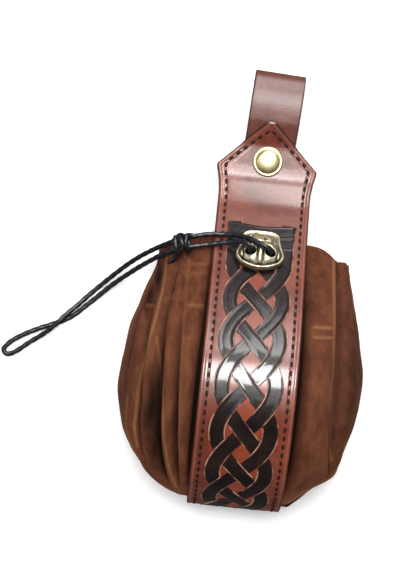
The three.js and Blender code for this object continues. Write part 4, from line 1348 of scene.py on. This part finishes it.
def loop_path():
    """Outer face of the loop in the side view, from its front tongue over the fold to its back one."""
    front = HEAD_STACK - BAND_THICK - GAP
    back = BAND_THICK + GAP
    rest = CAP_EDGE + LOOP_WIDTH / 2 * math.sin(math.radians(LOOP_LEAN)) + GAP
    tip_lift = front + (HEAD_RISE - CAP_EDGE) * math.tan(math.radians(TIP_TILT))
    depth = LOOP_OPENING + 2 * LOOP_THICK
    bend = depth / 2
    low = tip_lift - depth
    fold = catmull(
        [side_point(HEAD_RISE, tip_lift - 2 * GAP), side_point(HEAD_RISE + bend, tip_lift)]
        + [side_point(LOOP_RISE - drop * bend, low + share * depth) for drop, share in LOOP_FOLD]
        + [side_point(HEAD_RISE + 2 * bend, back - LOOP_SWELL * bend), side_point(HEAD_RISE, back)]
    )
    end = RIVET_RISE - LOOP_TONGUE
    start = [side_point(end, front), side_point(rest - 1, front), side_point(rest + 0.5, front + 0.1)]
    stop = [side_point(HEAD_RISE - LOOP_THICK, back), side_point(end, back)]
    return resample(np.vstack([start, fold, stop]), LOOP_STEP)


def add_loop(material):
    """Strap folded over, both ends between the heads, turned a little about the rivet."""
    path = loop_path()
    halves = np.full(len(path), LOOP_WIDTH / 2)
    obj, inset = strip_mesh("loop_leather", path, -normals_of(path), halves, LOOP_THICK, LOOP_SECTION)
    set_attribute(obj, "paint", np.where(inset < 0, 1.0, 1 - smoothstep(inset, *LOOP_PAINT)))
    rivet = Vector(place_at(0, RIVET_RISE, 0) * MM)
    lean = Matrix.Rotation(-math.radians(LOOP_LEAN), 4, "Z")
    obj.data.transform(Matrix.Translation(rivet) @ lean @ Matrix.Translation(-rivet))
    dress(obj, material, "belt_loop")


# Rivet: points round it, rounding of its back plate, its dome inside the cap's rim, and the groove there
RIVET_SIDES = 72
PLATE_ROUND = 0.3
DOME_INSET = 1.7
DOME_FOOT = 1.15
DOME_STEPS = 12
RIM_GROOVE = (1.55, 0.28)
RIM_DARKNESS = 0.75


def add_rivet(material):
    """Domed cap with a rolled rim, on its post and sunk back plate."""
    seat = HEAD_STACK + GAP
    cap, post, plate = CAP_WIDTH / 2, POST_WIDTH / 2, PLATE_WIDTH / 2
    profile = [
        (plate - PLATE_ROUND, GAP), (plate, GAP + PLATE_ROUND), (plate, GAP + PLATE_THICK),
        (post, GAP + PLATE_THICK), (post, seat), (cap - 0.3, seat), (cap, seat + 0.35), (cap, seat + 0.75),
        (cap - 0.35, seat + 1.2), (cap - 0.95, seat + 1.35), (cap - 1.35, seat + DOME_FOOT),
    ]
    for angle in np.linspace(0, math.pi / 2, DOME_STEPS, endpoint=False):
        lift = seat + DOME_FOOT + (CAP_DOME - DOME_FOOT) * math.sin(angle)
        profile.append(((cap - DOME_INSET) * math.cos(angle), lift))
    y = RIVET_RISE - ORIGIN_RISE
    points = [(r * math.cos(a), y + r * math.sin(a), z) for r, z in profile for a in circle(RIVET_SIDES)]
    points += [(0, y, GAP), (0, y, seat + CAP_DOME)]
    foot = len(points) - 2
    faces = grid_faces(len(profile), RIVET_SIDES)
    faces += [face[::-1] for face in fan(0, RIVET_SIDES, foot)]
    faces += fan(foot - RIVET_SIDES, RIVET_SIDES, foot + 1)
    obj = make_solid("rivet_brass", points, faces)
    middle, width = RIM_GROOVE
    radius = np.hypot(np.array(points)[:, 0], np.array(points)[:, 1] - y)
    set_attribute(obj, "hollow", RIM_DARKNESS * hump(radius, cap - middle, width))
    dress(obj, material, "snap_rivet")


# Bead: points round its outline, and rings from its middle to its edge
BEAD_POINTS = 144
BEAD_RINGS = 60

# Bead's lower edge, as shares of its outline and thickness, its least thickness, and how much darker its
# foot and underside are
BEAD_FOOT = [(1.0, 0.22), (0.965, 0.08), (0.9, 0.0)]
BEAD_LEAST = 0.2
BEAD_FOOT_DARK = 0.5

# Relief of the bead's face in its own directions, alike on both sides but for the dents
RIB_HALF = 1.05
RIB_REACH = (-7.4, -6.4, 2.6, 4.2)
FLANK = (1.75, 0.5)
FLANK_REACH = (-7, -5, 2.6, 3.6)
GROOVE = (9.1, 0.55)
GROOVE_REACH = (-5.5, -3.5, 3.4, 5.4)
LIP = (6.4, 0.4)
LIP_HALF = 7.5
CHEEK = ((4.6, -4.6), (2.6, 1.6))
BROW = ((5.2, 4.2), (3.2, 0.9))
DENTS = [
    ((4.6, 11.2), (0.9, 0.7)), ((-5.2, 10.2), (1.0, 0.6)), ((-2.6, 13.0), (0.6, 1.5)),
    ((1.9, 8.4), (0.5, 1.4)),
]
HOLE_SIZE = (2.9, 2.75)
HOLE_EDGE = (0.82, 1.06)
HOLE_FLOOR = 1.3
RIM_GRIME = (0.845, 0.035)


def bead_edge():
    """Points round the bead's outline, in its own directions."""
    half = [(x * BEAD_WIDTH / 2, up * BEAD_HEIGHT) for x, up in BEAD_OUTLINE]
    outline = half + [(-x, up) for x, up in half[1:-1][::-1]]
    loop = catmull([outline[-1], *outline, *outline[:2]])[SPAN_POINTS:-SPAN_POINTS]
    return resample(loop, lengths(loop)[-1] / BEAD_POINTS)[:BEAD_POINTS]


def bead_relief(x, y, share):
    """Height of the bead's face, and its darkening: dirt in its hollows and painted shade in its holes."""
    side = np.abs(x)
    rib = np.exp(-(x / RIB_HALF) ** 4) * between(y, *RIB_REACH)
    flank = hump(side, *FLANK) * between(y, *FLANK_REACH)
    groove = hump(side, *GROOVE) * between(y, *GROOVE_REACH)
    dents = sum(bump_at(x, y, *dent) for dent in DENTS)
    lip = hump(y, *LIP) * (side < LIP_HALF)
    raised = rib + 0.7 * bump_at(side, y, *CHEEK) + 0.5 * bump_at(side, y, *BROW)
    sunk = 0.5 * flank + 0.8 * groove + 0.6 * dents + 0.35 * lip
    distance = np.hypot((side - CORD_SPACING / 2) / HOLE_SIZE[0], y / HOLE_SIZE[1])
    holes = 1 - smoothstep(distance, *HOLE_EDGE)
    domed = BEAD_GAP + (BEAD_THICK - BEAD_GAP) * np.interp(share, *zip(*BEAD_SECTION))
    high = (domed + raised - sunk) * (1 - holes) + HOLE_FLOOR * holes
    rim = hump(share, *RIM_GRIME) * (1 - 0.6 * smoothstep(y, 6, 9))
    # Dirt in the grooves, dents and rim; the holes are painted dark as shade
    grime_and_shade = rim + 0.9 * groove + flank + dents + 0.6 * lip + 1.6 * holes
    return high, np.clip(grime_and_shade, 0, 1)


def add_bead(material):
    """Mask-like bead: raised rim, domed middle with a brow, a rib, cheeks and two cord holes."""
    edge = bead_edge()
    crown = np.array([0, BEAD_CROWN])
    share = np.linspace(0, 1, BEAD_RINGS)[1:, None]
    spots = crown + share[..., None] * (edge - crown)
    high, grime_and_shade = bead_relief(spots[..., 0], spots[..., 1], share + 0 * spots[..., 0])
    points = [at_bead(*crown, high[0].mean())]
    for spot, lift in zip(spots.reshape(-1, 2), high.reshape(-1)):
        points.append(at_bead(*spot, max(lift, BEAD_GAP + BEAD_LEAST)))
    for out, up in BEAD_FOOT:
        lift = BEAD_GAP + (BEAD_THICK - BEAD_GAP) * up
        points += [at_bead(*(crown + out * (spot - crown)), lift) for spot in edge]
    points.append(at_bead(*crown, BEAD_GAP))
    rows = BEAD_RINGS - 1 + len(BEAD_FOOT)
    faces = grid_faces(rows, BEAD_POINTS, start=1) + fan(1, BEAD_POINTS, 0)
    faces += fan(1 + (rows - 1) * BEAD_POINTS, BEAD_POINTS, len(points) - 1)
    obj = make_solid("bead_brass", points, faces)
    # Foot and underside of the bead made darker
    under = np.full(len(BEAD_FOOT) * BEAD_POINTS + 1, BEAD_FOOT_DARK)
    set_attribute(obj, "hollow", np.concatenate([[0], grime_and_shade.reshape(-1), under]))
    dress(obj, material, "cord_bead")


add_camera()
add_studio()
cord_material = cord_finish()
add_tail(cord_material)
add_gather(cord_material)
add_bag(suede_finish())
add_band(tooled_finish())
add_plait(plait_finish())
add_stitches(thread_finish())
add_loop(strap_finish())
add_rivet(metal_finish("rivet_brass", srgb(92, 74, 40), srgb(184, 174, 124), srgb(206, 198, 154), 0.4))
add_bead(metal_finish("aged_brass", srgb(20, 16, 14), srgb(134, 125, 105), srgb(190, 182, 156), 0.44))
